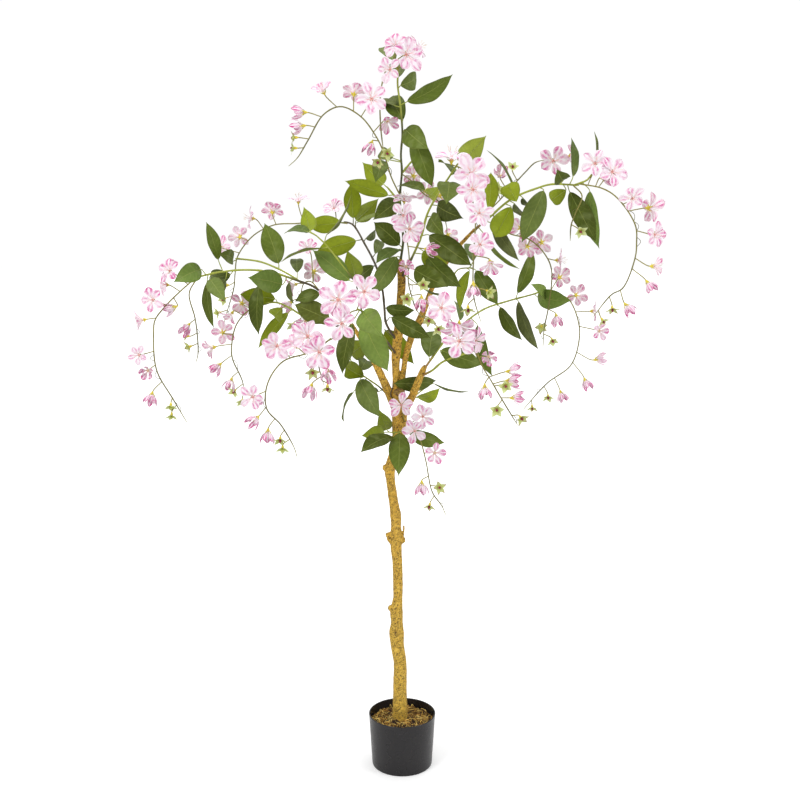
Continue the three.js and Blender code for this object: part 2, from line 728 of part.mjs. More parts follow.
// Racemes. The first stem is rooted in its host, the others on the first one
const RACEMES = {
  top_left: {
    host: "leader",
    stems: [
      [
        [-0.5, 131.3, 0], [-2.4, 135.4, -1], [-4.1, 140.8, -2], [-5.9, 144.3, -2.5], [-8.9, 148, -3],
        [-13.1, 150, -3],
        [-16.7, 148.4, -3], [-20.2, 142.9, -3], [-22.5, 139.3, -3], [-24.4, 137.6, -3],
      ],
    ],
    blooms: [
      [-10.3, 152.6, "open", 180, 50],
      [-6.5, 151.5, "open", 10, 10, -1.5, 1.25],
      [-16.7, 153, "half", -30, 50],
      [-20.9, 148.8, "bell", -90, 0],
      [-21.2, 146, "bell", -90, -10],
      [-22.8, 143.6, "bud", -90, 0],
      [-23, 141.4, "bud", -90, 0],
      [-3.2, 147, "half", 20, -35, 1.5],
      [-6.6, 142.4, "bell", -40, -60],
    ],
  },
  crown: {
    host: "leader",
    stems: [
      [
        [-0.9, 156.6, 0.3], [-1.2, 158.6, -0.6], [-2.6, 158.6, -1.5], [-3.9, 156.3, -1.5],
        [-4.7, 151.5, -1.5],
        [-4.7, 147.5, -3.5], [-4.5, 144.5, -5.5], [-4, 140.5, -5.5],
      ],
    ],
    blooms: [
      [-1.3, 162.4, "open", -20, 15],
      [0.8, 160.6, "open", 30, 0, 0, 1.25],
      [3, 161.8, "open", 80, 30],
      [-2.6, 157.6, "open", -25, 0],
      [-3.2, 140.4, "bud", 0, -20],
      [-5.1, 138.6, "bud", -20, -30, -1.5],
    ],
  },
  front_right: {
    host: "front_top",
    stems: [
      [
        [12, 138.3, -17], [13.5, 136.5, -22], [15, 131, -27], [15.8, 126, -29], [15.6, 121, -30],
        [15.6, 110, -30],
        [17.3, 104, -30],
      ],
    ],
    blooms: [
      [10.5, 139, "open", 0, 75, 0, 1.25],
      [14.9, 136, "open", 0, 5, 0, 1.4],
      [15.2, 132.7, "open", 0, 0, 0, 1.1],
      [16.6, 127.7, "open", 5, 0, 0, 0.95],
      [16.9, 121, "open", 0, 5, 0, 0.9],
      [19.1, 117.1, "half", 10, -50],
      [15.5, 112.2, "bell", 0, -80],
      [18.8, 110.8, "bud", 40, -20],
      [14.4, 107.2, "bud", 0, -60],
    ],
  },
  front_centre: {
    host: "leader",
    stems: [
      [
        [0, 129, 0], [0.3, 126, -6], [1, 122, -9], [1.5, 118, -10], [1.3, 113, -11], [2, 110, -12],
        [3, 107, -13],
        [4.5, 104.9, -14],
      ],
    ],
    blooms: [
      [0.4, 130.4, "open", 0, 70, -3],
      [0.2, 127.2, "open", -10, 10, -2],
      [1.6, 124.3, "open", 10, 0, 0, 1.1],
      [5.3, 120, "bell", 50, -5],
      [0.8, 116.2, "bell", 0, 0],
      [4.4, 112.3, "bud", 20, 0],
      [0.9, 109.3, "bud", 10, -10],
      [4.2, 109.3, "bell", 0, -70],
      [5.8, 104.7, "bud", 0, -30],
      [7.8, 102.8, "bud", 20, -30],
    ],
  },
  front_left: {
    host: "front_left",
    stems: [
      [
        [-10, 107, -22], [-12, 105.5, -30], [-14.5, 101, -32], [-17, 99.5, -32], [-18.5, 95.5, -32],
        [-17.4, 90, -32],
      ],
      [
        [-15.5, 100.3, -32], [-18.5, 98.3, -29], [-20.9, 97.2, -26], [-26.6, 95.2, -22], [-30, 90, -19],
        [-30.1, 84.6, -17], [-27.1, 81.1, -16], [-24.1, 75.6, -15], [-23.6, 73.5, -15],
      ],
    ],
    blooms: [
      [-14, 109, "open", -5, 5, 0, 1.35],
      [-8.3, 110.8, "open", 5, 10, 0, 1.25],
      [-13.3, 103.8, "open", 0, 0, 0, 1.15],
      [-18.3, 97.5, "open", -5, -5, 0, 1.2],
      [-16.5, 93.2, "bell", 10, -30],
      [-20.2, 89.8, "bell", -20, -50],
      [-19.8, 93.2, "bud", 0, -30],
      [-16.6, 89.7, "bud", 0, -60],
      [-20.8, 101, "open", -20, 5, 0, 1.2],
      [-23.3, 98.8, "open", -40, 40],
      [-27.6, 98.8, "open", -10, 0, 0, 1.1],
      [-33.2, 87.4, "open", -10, 0],
      [-32.4, 82.7, "bell", -40, -30],
      [-30, 79.6, "bell", -10, -70],
      [-27.3, 77.9, "bud", 0, -50],
      [-26.8, 75.9, "bud", 0, -50],
    ],
  },
  left_inner: {
    host: "left_low",
    stems: [
      [
        [-31, 108.2, 4], [-33.9, 106.5, 5], [-36.5, 103.4, 6], [-37.6, 98.9, 7], [-37.5, 96, 8],
        [-35.6, 91.5, 9],
        [-34.9, 88.6, 10],
      ],
    ],
    blooms: [
      [-35.1, 108.3, "open", 180, 0],
      [-37.4, 106, "half", -60, -50],
      [-39.4, 101.8, "open", 180, 10],
      [-41.6, 98.5, "half", -100, -20],
      [-40.4, 94.6, "bell", -60, -40],
      [-37.9, 91.2, "bell", -30, -60],
      [-37.2, 88.8, "bud", -30, -30],
      [-35.6, 86.6, "bud", 0, -40],
    ],
  },
  far_left: {
    host: "left_arm",
    stems: [
      [
        [-46, 113.6, -1], [-48.8, 110.6, -2], [-51.9, 107.6, -3], [-54.3, 104.5, -4], [-54.7, 101.8, -4],
        [-54.7, 95.5, -5], [-54, 92.4, -5], [-51.1, 87.2, -6], [-47.9, 81.4, -6],
      ],
    ],
    blooms: [
      [-50.6, 115.3, "open", -30, 20],
      [-51.5, 112.3, "open", -60, 10],
      [-54.6, 109, "open", -10, 5],
      [-56.8, 104.6, "half", -80, -10],
      [-49.9, 107.4, "bell", -90, -20],
      [-58.1, 96.8, "open", -10, 5, 0, 0.8],
      [-56.3, 93.3, "bell", 0, -10],
      [-55.6, 88, "bell", -20, -60],
      [-51.5, 85.6, "bud", 0, -60],
      [-51.4, 83.4, "bud", 0, -60],
    ],
  },
  left_small: {
    host: "left_arm",
    stems: [
      [
        [-44.6, 114, -0.6], [-46.6, 110.1, 4], [-45.5, 105.1, 6], [-45.1, 101.3, 7], [-45.1, 96.9, 8],
        [-45.7, 94.9, 8],
      ],
    ],
    blooms: [
      [-47, 103.4, "bell", -40, -40],
      [-47.3, 101, "bud", -90, 0],
      [-46.8, 98.7, "bud", -100, -20],
    ],
  },
  upper_left: {
    host: "upper_left",
    stems: [
      [
        [-12.6, 125.9, 9], [-17, 126, 14], [-22.7, 125.5, 19], [-28, 125.1, 23], [-32.5, 122.7, 25],
        [-35.8, 118.4, 24], [-36.4, 115, 22], [-36.8, 111.5, 20], [-38.7, 105.5, 18], [-39.2, 103.5, 18],
      ],
    ],
    blooms: [
      [-14.7, 128.6, "open", -30, 50, 0.5],
      [-22.4, 130.2, "open", 0, 80],
      [-28, 127.9, "open", 180, 40],
      [-32.4, 126.6, "open", -80, 10],
      [-35.2, 122.6, "open", -150, 10],
      [-39.6, 120.6, "open", 150, 0],
      [-38.4, 112.2, "half", -90, 0],
      [-38.9, 109.2, "bud", -40, -20],
      [-40.2, 106.2, "bud", -60, -10],
    ],
  },
  far_right: {
    host: "right_arm",
    stems: [
      [
        [38, 133.6, 1], [43.1, 132.9, 0], [46.4, 130.8, -1], [50.4, 125.1, -2], [50.8, 121.4, -2],
        [50.6, 118.1, -3],
        [48.2, 111.6, -3], [45.7, 110.1, -4], [41.8, 105.2, -4],
      ],
    ],
    blooms: [
      [45, 136.4, "open", 20, 10, 0, 1.2],
      [41.3, 138.2, "open", -20, 20, 0, 1.1],
      [43.1, 135.1, "bell", 70, -5],
      [49.6, 130.8, "open", -30, 20],
      [53.2, 128.8, "open", 115, 0, 0, 1.25],
      [54.6, 123.1, "open", 30, 0],
      [54.5, 116.3, "half", 100, 0],
      [53.5, 112.8, "bell", 60, -50],
      [49, 107.8, "bell", 60, -50],
      [46, 107.2, "bud", 0, -60],
      [43.9, 104.6, "bud", 45, -50],
    ],
  },
  right_low: {
    host: "right_low",
    stems: [
      [
        [30.2, 110.8, 20], [32.5, 111, 21], [34.5, 110.2, 22], [36.6, 108.9, 23], [38.5, 104.8, 24],
        [39, 100.8, 25],
        [37.3, 94.6, 26], [32.1, 90.5, 26], [26.7, 84.3, 26],
      ],
    ],
    blooms: [
      [34.3, 113.9, "open", 150, 10],
      [38, 110, "open", 150, 0],
      [41.7, 106.5, "open", 85, 0],
      [43.3, 102.2, "half", 10, 0],
      [42.8, 95.8, "bell", 90, 10],
      [40.5, 91.2, "bell", 40, -60],
      [35.2, 88.4, "bell", 30, -60],
      [32.4, 87.6, "bud", 0, -50],
      [28.9, 85.2, "bud", 0, -60],
    ],
  },
  front_low: {
    host: "front_right",
    stems: [
      [
        [15.2, 97.6, -16.5], [16.4, 97.4, -19], [17.7, 94.3, -20], [19.5, 91.4, -20],
        [21.9, 87.3, -21], [25.9, 80.8, -22],
      ],
      [[16.4, 97.4, -19], [14.5, 100.5, -21], [11, 104, -22]],
    ],
    blooms: [
      [8.6, 107.2, "open", 0, 5, 0, 1.1],
      [12.5, 103.3, "open", 0, -55, 0, 1.4],
      [12.6, 99.9, "open", 0, 0, 0, 1.25],
      [16, 100, "open", 60, 0],
      [19, 96.4, "bell", 0, 0],
      [18.3, 89.6, "bell", 0, -70],
      [23.6, 93.2, "bell", 80, 10],
      [23.4, 91, "bell", 80, 0],
      [24.6, 87.2, "bell", 80, 0],
      [22.9, 90, "bud", 0, -10],
      [21, 84.6, "bud", 0, -10],
      [26.4, 82.8, "bud", 30, -30],
    ],
  },
  right_inner: {
    host: "right_arm",
    stems: [
      [
        [19.4, 127.4, 0], [22.9, 123.5, 5], [27.5, 122.1, 8], [30.9, 119, 10], [32.5, 115.5, 11],
        [32, 107.3, 12],
        [31.2, 102.7, 12], [31, 98.3, 12],
      ],
    ],
    blooms: [
      [25.6, 124.5, "open", 170, 10, 1.5],
      [27.2, 120.6, "open", 160, 0],
      [30.2, 121.5, "open", 170, 0],
      [33.8, 117.6, "open", 80, 0],
      [33.8, 105.4, "bell", 20, -60],
      [30.6, 103.2, "bud", 180, -30],
      [33, 100.2, "bud", 20, -40],
    ],
  },
  trunk: {
    host: "wood",
    stems: [
      [
        [-0.5, 82, 0], [1.5, 81.5, -3], [3.3, 79, -5], [4.2, 77.1, -6], [5.3, 72.9, -8], [6.8, 65.6, -9],
        [8.9, 62.5, -10], [10, 60, -10],
      ],
    ],
    blooms: [
      [-0.2, 85.6, "open", -10, 20, -1],
      [4.6, 83, "open", 10, 10],
      [2.8, 79.7, "open", -10, 5],
      [7.3, 74.7, "half", 5, 0],
      [4.4, 67.6, "bell", 0, -70],
      [8.3, 66.8, "bud", 10, 0],
      [6.2, 62.6, "bud", -20, -50],
    ],
  },
  right_small: {
    host: "right_arm",
    stems: [[[36.6, 133.7, 1], [38.7, 131.2, -3], [37.3, 127.5, -3], [36.5, 125.1, -3], [36.4, 121.7, -3]]],
    blooms: [[38.4, 124, "bud", 20, -30]],
  },
  right_top: {
    host: "right_arm",
    stems: [
      [
        [16.8, 125.1, 0.6], [18.6, 128, 3], [21, 130.5, 5], [24, 133.8, 8], [26.5, 136.5, 10],
        [28.5, 138.4, 11],
        [31, 139, 11],
      ],
    ],
    blooms: [
      [32.3, 138.7, "open", 0, 5, 0, 1.25],
      [36, 139.8, "open", 60, 10],
      [21, 135.6, "bell", 0, 30],
      [20.4, 132.8, "bud", 0, 10],
      [23.6, 137.2, "bud", 0, 40],
    ],
  },
  back_left: {
    host: "left_arm",
    stems: [[[-18, 111, 2], [-20, 113, 6], [-21.6, 112.4, 9], [-22.2, 109, 11], [-22.2, 104, 12]]],
    blooms: [
      [-19.2, 115.2, "open", 180, 0],
      [-23.4, 112.3, "half", -80, -20],
      [-24.4, 108.4, "bell", -60, -40],
      [-21.2, 104.4, "half", 0, -30],
      [-20.2, 119.8, "half", -20, 40],
      [-24, 103.6, "bud", -20, -40],
    ],
  },
  back: {
    host: "leader",
    stems: [[[-0.2, 136, 0], [2, 134.5, 5], [5, 131.5, 9], [8, 130, 11], [9.8, 124, 13]]],
    blooms: [
      [2.4, 135.6, "open", 180, 30, 2.5],
      [5.1, 132.4, "open", 150, 0],
      [8.2, 131.4, "open", 140, 10],
      [9.9, 123, "half", 160, -20],
    ],
  },
};

function upright(profile, sides) {
  const geometry = new THREE.LatheGeometry(profile.map(([r, z]) => new THREE.Vector2(r, z)), sides);
  geometry.rotateX(Math.PI / 2);
  return solidOfGeometry(geometry);
}

function innerRadius(z) {
  return POT_BASE_RADIUS + ((POT_TOP_RADIUS - POT_BASE_RADIUS) * z) / POT_HEIGHT - POT_WALL;
}

// Pot: a plain tapered shell with a small round at its foot, closed at the bottom and open at the top
function pot() {
  return upright(
    [
      [0, 0],
      [POT_BASE_RADIUS - 2, 0],
      [POT_BASE_RADIUS, 2.6],
      [POT_TOP_RADIUS, POT_HEIGHT - 1],
      [POT_TOP_RADIUS - 1, POT_HEIGHT],
      [innerRadius(POT_HEIGHT), POT_HEIGHT],
      [innerRadius(POT_FLOOR), POT_FLOOR],
      [0, POT_FLOOR],
    ],
    POT_SIDES,
  );
}

function cement(trunkHole) {
  const low = POT_FLOOR + CLEARANCE;
  const gap = CLEARANCE * 2;
  const disc = upright(
    [
      [0, low],
      [innerRadius(low) - gap, low],
      [innerRadius(CEMENT_TOP) - gap, CEMENT_TOP],
      [0, CEMENT_TOP],
    ],
    POT_SIDES,
  );
  return disc.subtract(trunkHole);
}

// Coir mat: heaped towards the trunk and lumpy, with shreds lying in it
function coir(trunkHole) {
  const draw = dice(41);
  const low = CEMENT_TOP + CLEARANCE;
  const sides = 16;
  const rings = [0.97, 0.7, 0.42];
  const edge = innerRadius(low) - CLEARANCE * 4;
  const crest = (share) => COIR_TOP - 4 + COIR_HEAP * (1 - share);
  const points = [];
  const ring = (radius, height) => {
    for (let k = 0; k < sides; k++) {
      const turn = (2 * Math.PI * k) / sides;
      points.push(new THREE.Vector3(radius * Math.cos(turn), radius * Math.sin(turn), height()));
    }
  };
  ring(edge, () => low);
  for (const share of rings) ring(edge * share, () => crest(share) + (draw() - 0.5) * 5);
  points.push(new THREE.Vector3(0, 0, low), new THREE.Vector3(0, 0, crest(0)));
  const faces = [];
  const bottom = points.length - 2;
  const top = points.length - 1;
  const last = rings.length * sides;
  for (let k = 0; k < sides; k++) {
    const next = (k + 1) % sides;
    faces.push([bottom, next, k], [top, last + k, last + next]);
    for (let i = 0; i < last; i += sides) {
      faces.push([i + k, i + next, i + sides + next], [i + k, i + sides + next, i + sides + k]);
    }
  }
  const solids = [solidOf(points, faces)];
  for (let i = 0; i < COIR_SHREDS; i++) {
    const turn = draw() * 2 * Math.PI;
    const share = 0.4 + 0.45 * draw();
    const middle = new THREE.Vector3(Math.cos(turn), Math.sin(turn), 0).multiplyScalar(edge * share);
    middle.z = crest(share);
    const way = new THREE.Vector3(draw() - 0.5, draw() - 0.5, (draw() - 0.5) * 0.2);
    const lie = way.setLength(8 + draw() * 8);
    const path = [middle.clone().sub(lie), middle.clone().setZ(middle.z + 1.5), middle.clone().add(lie)];
    const reach = Math.max(...path.map((p) => Math.hypot(p.x, p.y)));
    if (reach < edge - 3) solids.push(tube(path, [1, 2.2, 1], 3));
  }
  const parts = wasm.Manifold.union(solids).subtract(trunkHole).decompose();
  return parts.sort((a, b) => b.volume() - a.volume())[0];
}

function woodTube(rows, sides, extra = 0) {
  return tube(rows.map(sight), rows.map((row) => row[3] + extra), sides);
}

// The places of a route, with its root set on the axis of its host
function rooted(route, hosts, short = 0) {
  const places = route.map(sight);
  places[0] = nearestOn(hosts, places[0], short);
  return places;
}

// The stems of a spray or raceme: the first one rooted in the host, the others on the first
function stemsOf({ stems, radius, end }, hosts, short, step) {
  const first = stem(rooted(stems[0], hosts, short), radius, end, step);
  return [first, ...stems.slice(1).map((route) => stem(rooted(route, [first.path]), radius, end, step))];
}

const woodPaths = Object.values(WOOD).map((rows) => rows.map(sight));
let wood = wasm.Manifold.union(
  Object.entries(WOOD).map(([name, rows]) => woodTube(rows, name === "trunk" ? 8 : 5)),
);

const sprays = {};
const sprayPaths = {};
for (const [name, data] of Object.entries(SPRAYS)) {
  const tubes = stemsOf({ radius: LEAFY_STEM, end: LEAFY_END, ...data }, woodPaths, 0, 40);
  sprayPaths[name] = tubes.map(({ path }) => path);
  sprays[name] = wasm.Manifold.union([
    ...tubes.map(({ path, radii }) => tube(path, radii, 4)),
    ...data.leaves.map((row) => leaf(sprayPaths[name], data.sunk ?? STEM_SUNK, row)),
  ]);
  wood = wood.subtract(rootHole(tubes[0], 4, 45));
}

const racemes = {};
for (const [name, data] of Object.entries(RACEMES)) {
  const inWood = data.host === "wood";
  const hosts = inWood ? woodPaths : sprayPaths[data.host];
  const short = inWood ? 0 : ROOT_SINK;
  const tubes = stemsOf({ radius: FLOWER_STEM, end: FLOWER_STEM_END, ...data }, hosts, short, 42);
  const paths = tubes.map(({ path }) => path);
  const sunk = data.sunk ?? FLOWER_SUNK;
  const depths = depthsOf(paths, sunk, data.blooms);
  racemes[name] = wasm.Manifold.union([
    ...tubes.map(({ path, radii }) => tube(path, radii, 3)),
    ...data.blooms.map((row, index) => bloom(paths, sunk, depths[index], row, index)),
  ]);
  const hole = rootHole(tubes[0], 3, 20);
  if (inWood) wood = wood.subtract(hole);
  else sprays[data.host] = sprays[data.host].subtract(hole);
}

const trunkHole = woodTube(WOOD.trunk.slice(0, 4), 8, CLEARANCE * 1.5);
const foot = trunkHole.translate(0, 0, -CLEARANCE);
const tree = new THREE.Group();
tree.add(meshOf("pot", pot(), POT_BLACK));
tree.add(meshOf("cement_fill", cement(foot), CEMENT_GREY));
tree.add(meshOf("coir_top", coir(foot), COIR_BROWN));
tree.add(meshOf("trunk", wood, BARK));
for (const [name, solid] of Object.entries(sprays)) tree.add(meshOf("spray_" + name, solid, LEAF_GREEN));
for (const [name, solid] of Object.entries(racemes)) tree.add(meshOf("raceme_" + name, solid, PETAL_PINK));

export default tree;
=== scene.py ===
import math
import bpy
import numpy as np
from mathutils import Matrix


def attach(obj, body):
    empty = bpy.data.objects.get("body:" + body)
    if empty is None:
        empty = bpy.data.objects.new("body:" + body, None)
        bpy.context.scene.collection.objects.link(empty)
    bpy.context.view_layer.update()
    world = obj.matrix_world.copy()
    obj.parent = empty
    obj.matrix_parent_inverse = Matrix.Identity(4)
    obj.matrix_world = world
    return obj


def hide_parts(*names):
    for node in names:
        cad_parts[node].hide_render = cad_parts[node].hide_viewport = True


# A flowering Hong Kong orchid tree in its nursery pot. Places are set on the front elevation in centimetres
# (across, up) and slid along the line of sight to a depth; radii are in millimetres, and meshes end in
# metres.

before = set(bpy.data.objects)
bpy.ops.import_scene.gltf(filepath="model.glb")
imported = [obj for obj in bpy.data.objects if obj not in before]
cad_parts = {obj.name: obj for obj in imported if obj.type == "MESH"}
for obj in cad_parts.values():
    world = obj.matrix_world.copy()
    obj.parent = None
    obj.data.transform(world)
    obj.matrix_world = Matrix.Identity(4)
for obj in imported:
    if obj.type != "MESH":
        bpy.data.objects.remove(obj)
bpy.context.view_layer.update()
print("frame loaded:", len(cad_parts), "nodes")

eye = np.array([-5.0, -2408.0, 1295.0])
draw = np.random.default_rng(17)


# the places of stems, leaves and blooms

# a place is [across, up, depth], and a wooden one has its radius too. The first stem of a spray or raceme is
# rooted in its host, and the others in the first.
# a leaf is [across and up of its base, across and up of its tip, side, roll, width], sometimes with a slide
# in depth; side is -1 where the tip is nearer the eye than the base, and 1 where it is farther.
# a bloom is [across, up, kind, turn, tilt], sometimes with a slide in depth, or with that and a size


woodRoutes = {
    "trunk": [
        [-0.4, 2, 0, 16], [-0.5, 12, 0, 17], [-0.5, 15.5, 0, 16.5], [-0.5, 20, 0, 15.5],
        [-0.5, 25, 0, 14.5], [-1.1, 29, 0, 14.5], [-1.3, 32.3, 0, 17], [-1.2, 34.8, 0, 13.5],
        [-1.3, 37.2, 0, 14.5], [-1, 40.5, 0, 10.5], [-1, 45, 0, 10.8], [-1.1, 49, 0, 10.8],
        [-1.4, 52.5, 0, 12.5], [-1.4, 55, 0, 13], [-1.4, 57.5, 0, 11], [-1.5, 60.5, 0, 12.5],
        [-1.9, 63, 0, 10.8], [-2.3, 66, 0, 10], [-2.6, 68.5, 0, 10], [-2.8, 70.5, 0, 11.5],
        [-2.3, 73, 0, 11], [-1.3, 75.5, 0, 12], [-0.8, 79, 0, 14.5], [-0.6, 82, 0, 16.5],
        [-0.7, 85.5, 0, 18], [-0.8, 88, 0, 14]],
    "sawn_end": [[-0.7, 85.6, 0.2, 13], [-0.7, 88.6, -1.9, 12.8]],
    "middle": [
        [-1.1, 85, 0.3, 10], [-1.3, 88, 0.3, 9], [-1.4, 91.5, 0.3, 7.6], [-1.45, 95, 0.2, 8.8],
        [-1.3, 98, 0, 10.4], [-0.95, 101, 0, 10.8], [-0.6, 105, 0, 9.6], [-0.3, 110, 0, 8.5],
        [-0.2, 114, 0, 9], [-0.7, 117.8, 0, 7]],
    "left": [
        [-1.4, 84.5, 0, 9.5], [-2.2, 86.5, 0, 9], [-3.9, 90.5, -0.5, 8.8], [-6, 95, -0.5, 7.4],
        [-9.5, 101, 0, 5], [-13.5, 107, 1, 4.2], [-17.3, 110.7, 2, 3.6]],
    "second": [
        [-0.2, 86, 0.4, 7], [0.1, 91, 0.6, 6], [0.5, 95, 0.8, 6], [1.3, 98.5, 0.8, 7],
        [2.3, 101.5, 0.8, 7.5], [4, 104.8, 0.8, 8.5], [5.3, 108.2, 0.8, 6], [6.5, 111.5, 1, 5.5],
        [8.4, 115.6, 1, 6], [10.3, 118.3, 1, 6], [12.9, 121.3, 1, 4], [15.7, 124.3, 1, 3.6]],
    "right_stub": [
        [-0.2, 82.5, -0.2, 10], [0.8, 84.8, -0.6, 9.5], [2.4, 88, -1.3, 8.5], [3.8, 91.5, -1.7, 8],
        [4.7, 93.6, -1.7, 6.5], [5.2, 94.5, -1.7, 4]],
    "low_ledge": [[-1.3, 37.4, 0, 9], [-2.5, 38.1, 0, 7], [-3.2, 38.4, 0, 4]],
    "left_knob": [[-1.5, 53.4, 0, 10], [-2.8, 55, 0, 8], [-3.2, 56.1, 0, 6]],
    "right_knob": [[-1.3, 54, 0, 9], [0, 54.4, 0, 7.5], [0.7, 54.6, 0, 5]],
    "dry_twig": [[0.1, 54.4, 0, 2.6], [0.3, 56, 0, 2.2], [0.4, 57.9, 0, 1.9]],
    "high_knob": [[-2.7, 71, 0, 10], [-3.8, 71.3, 0, 7.5], [-4.4, 71.4, 0, 4.5]],
}

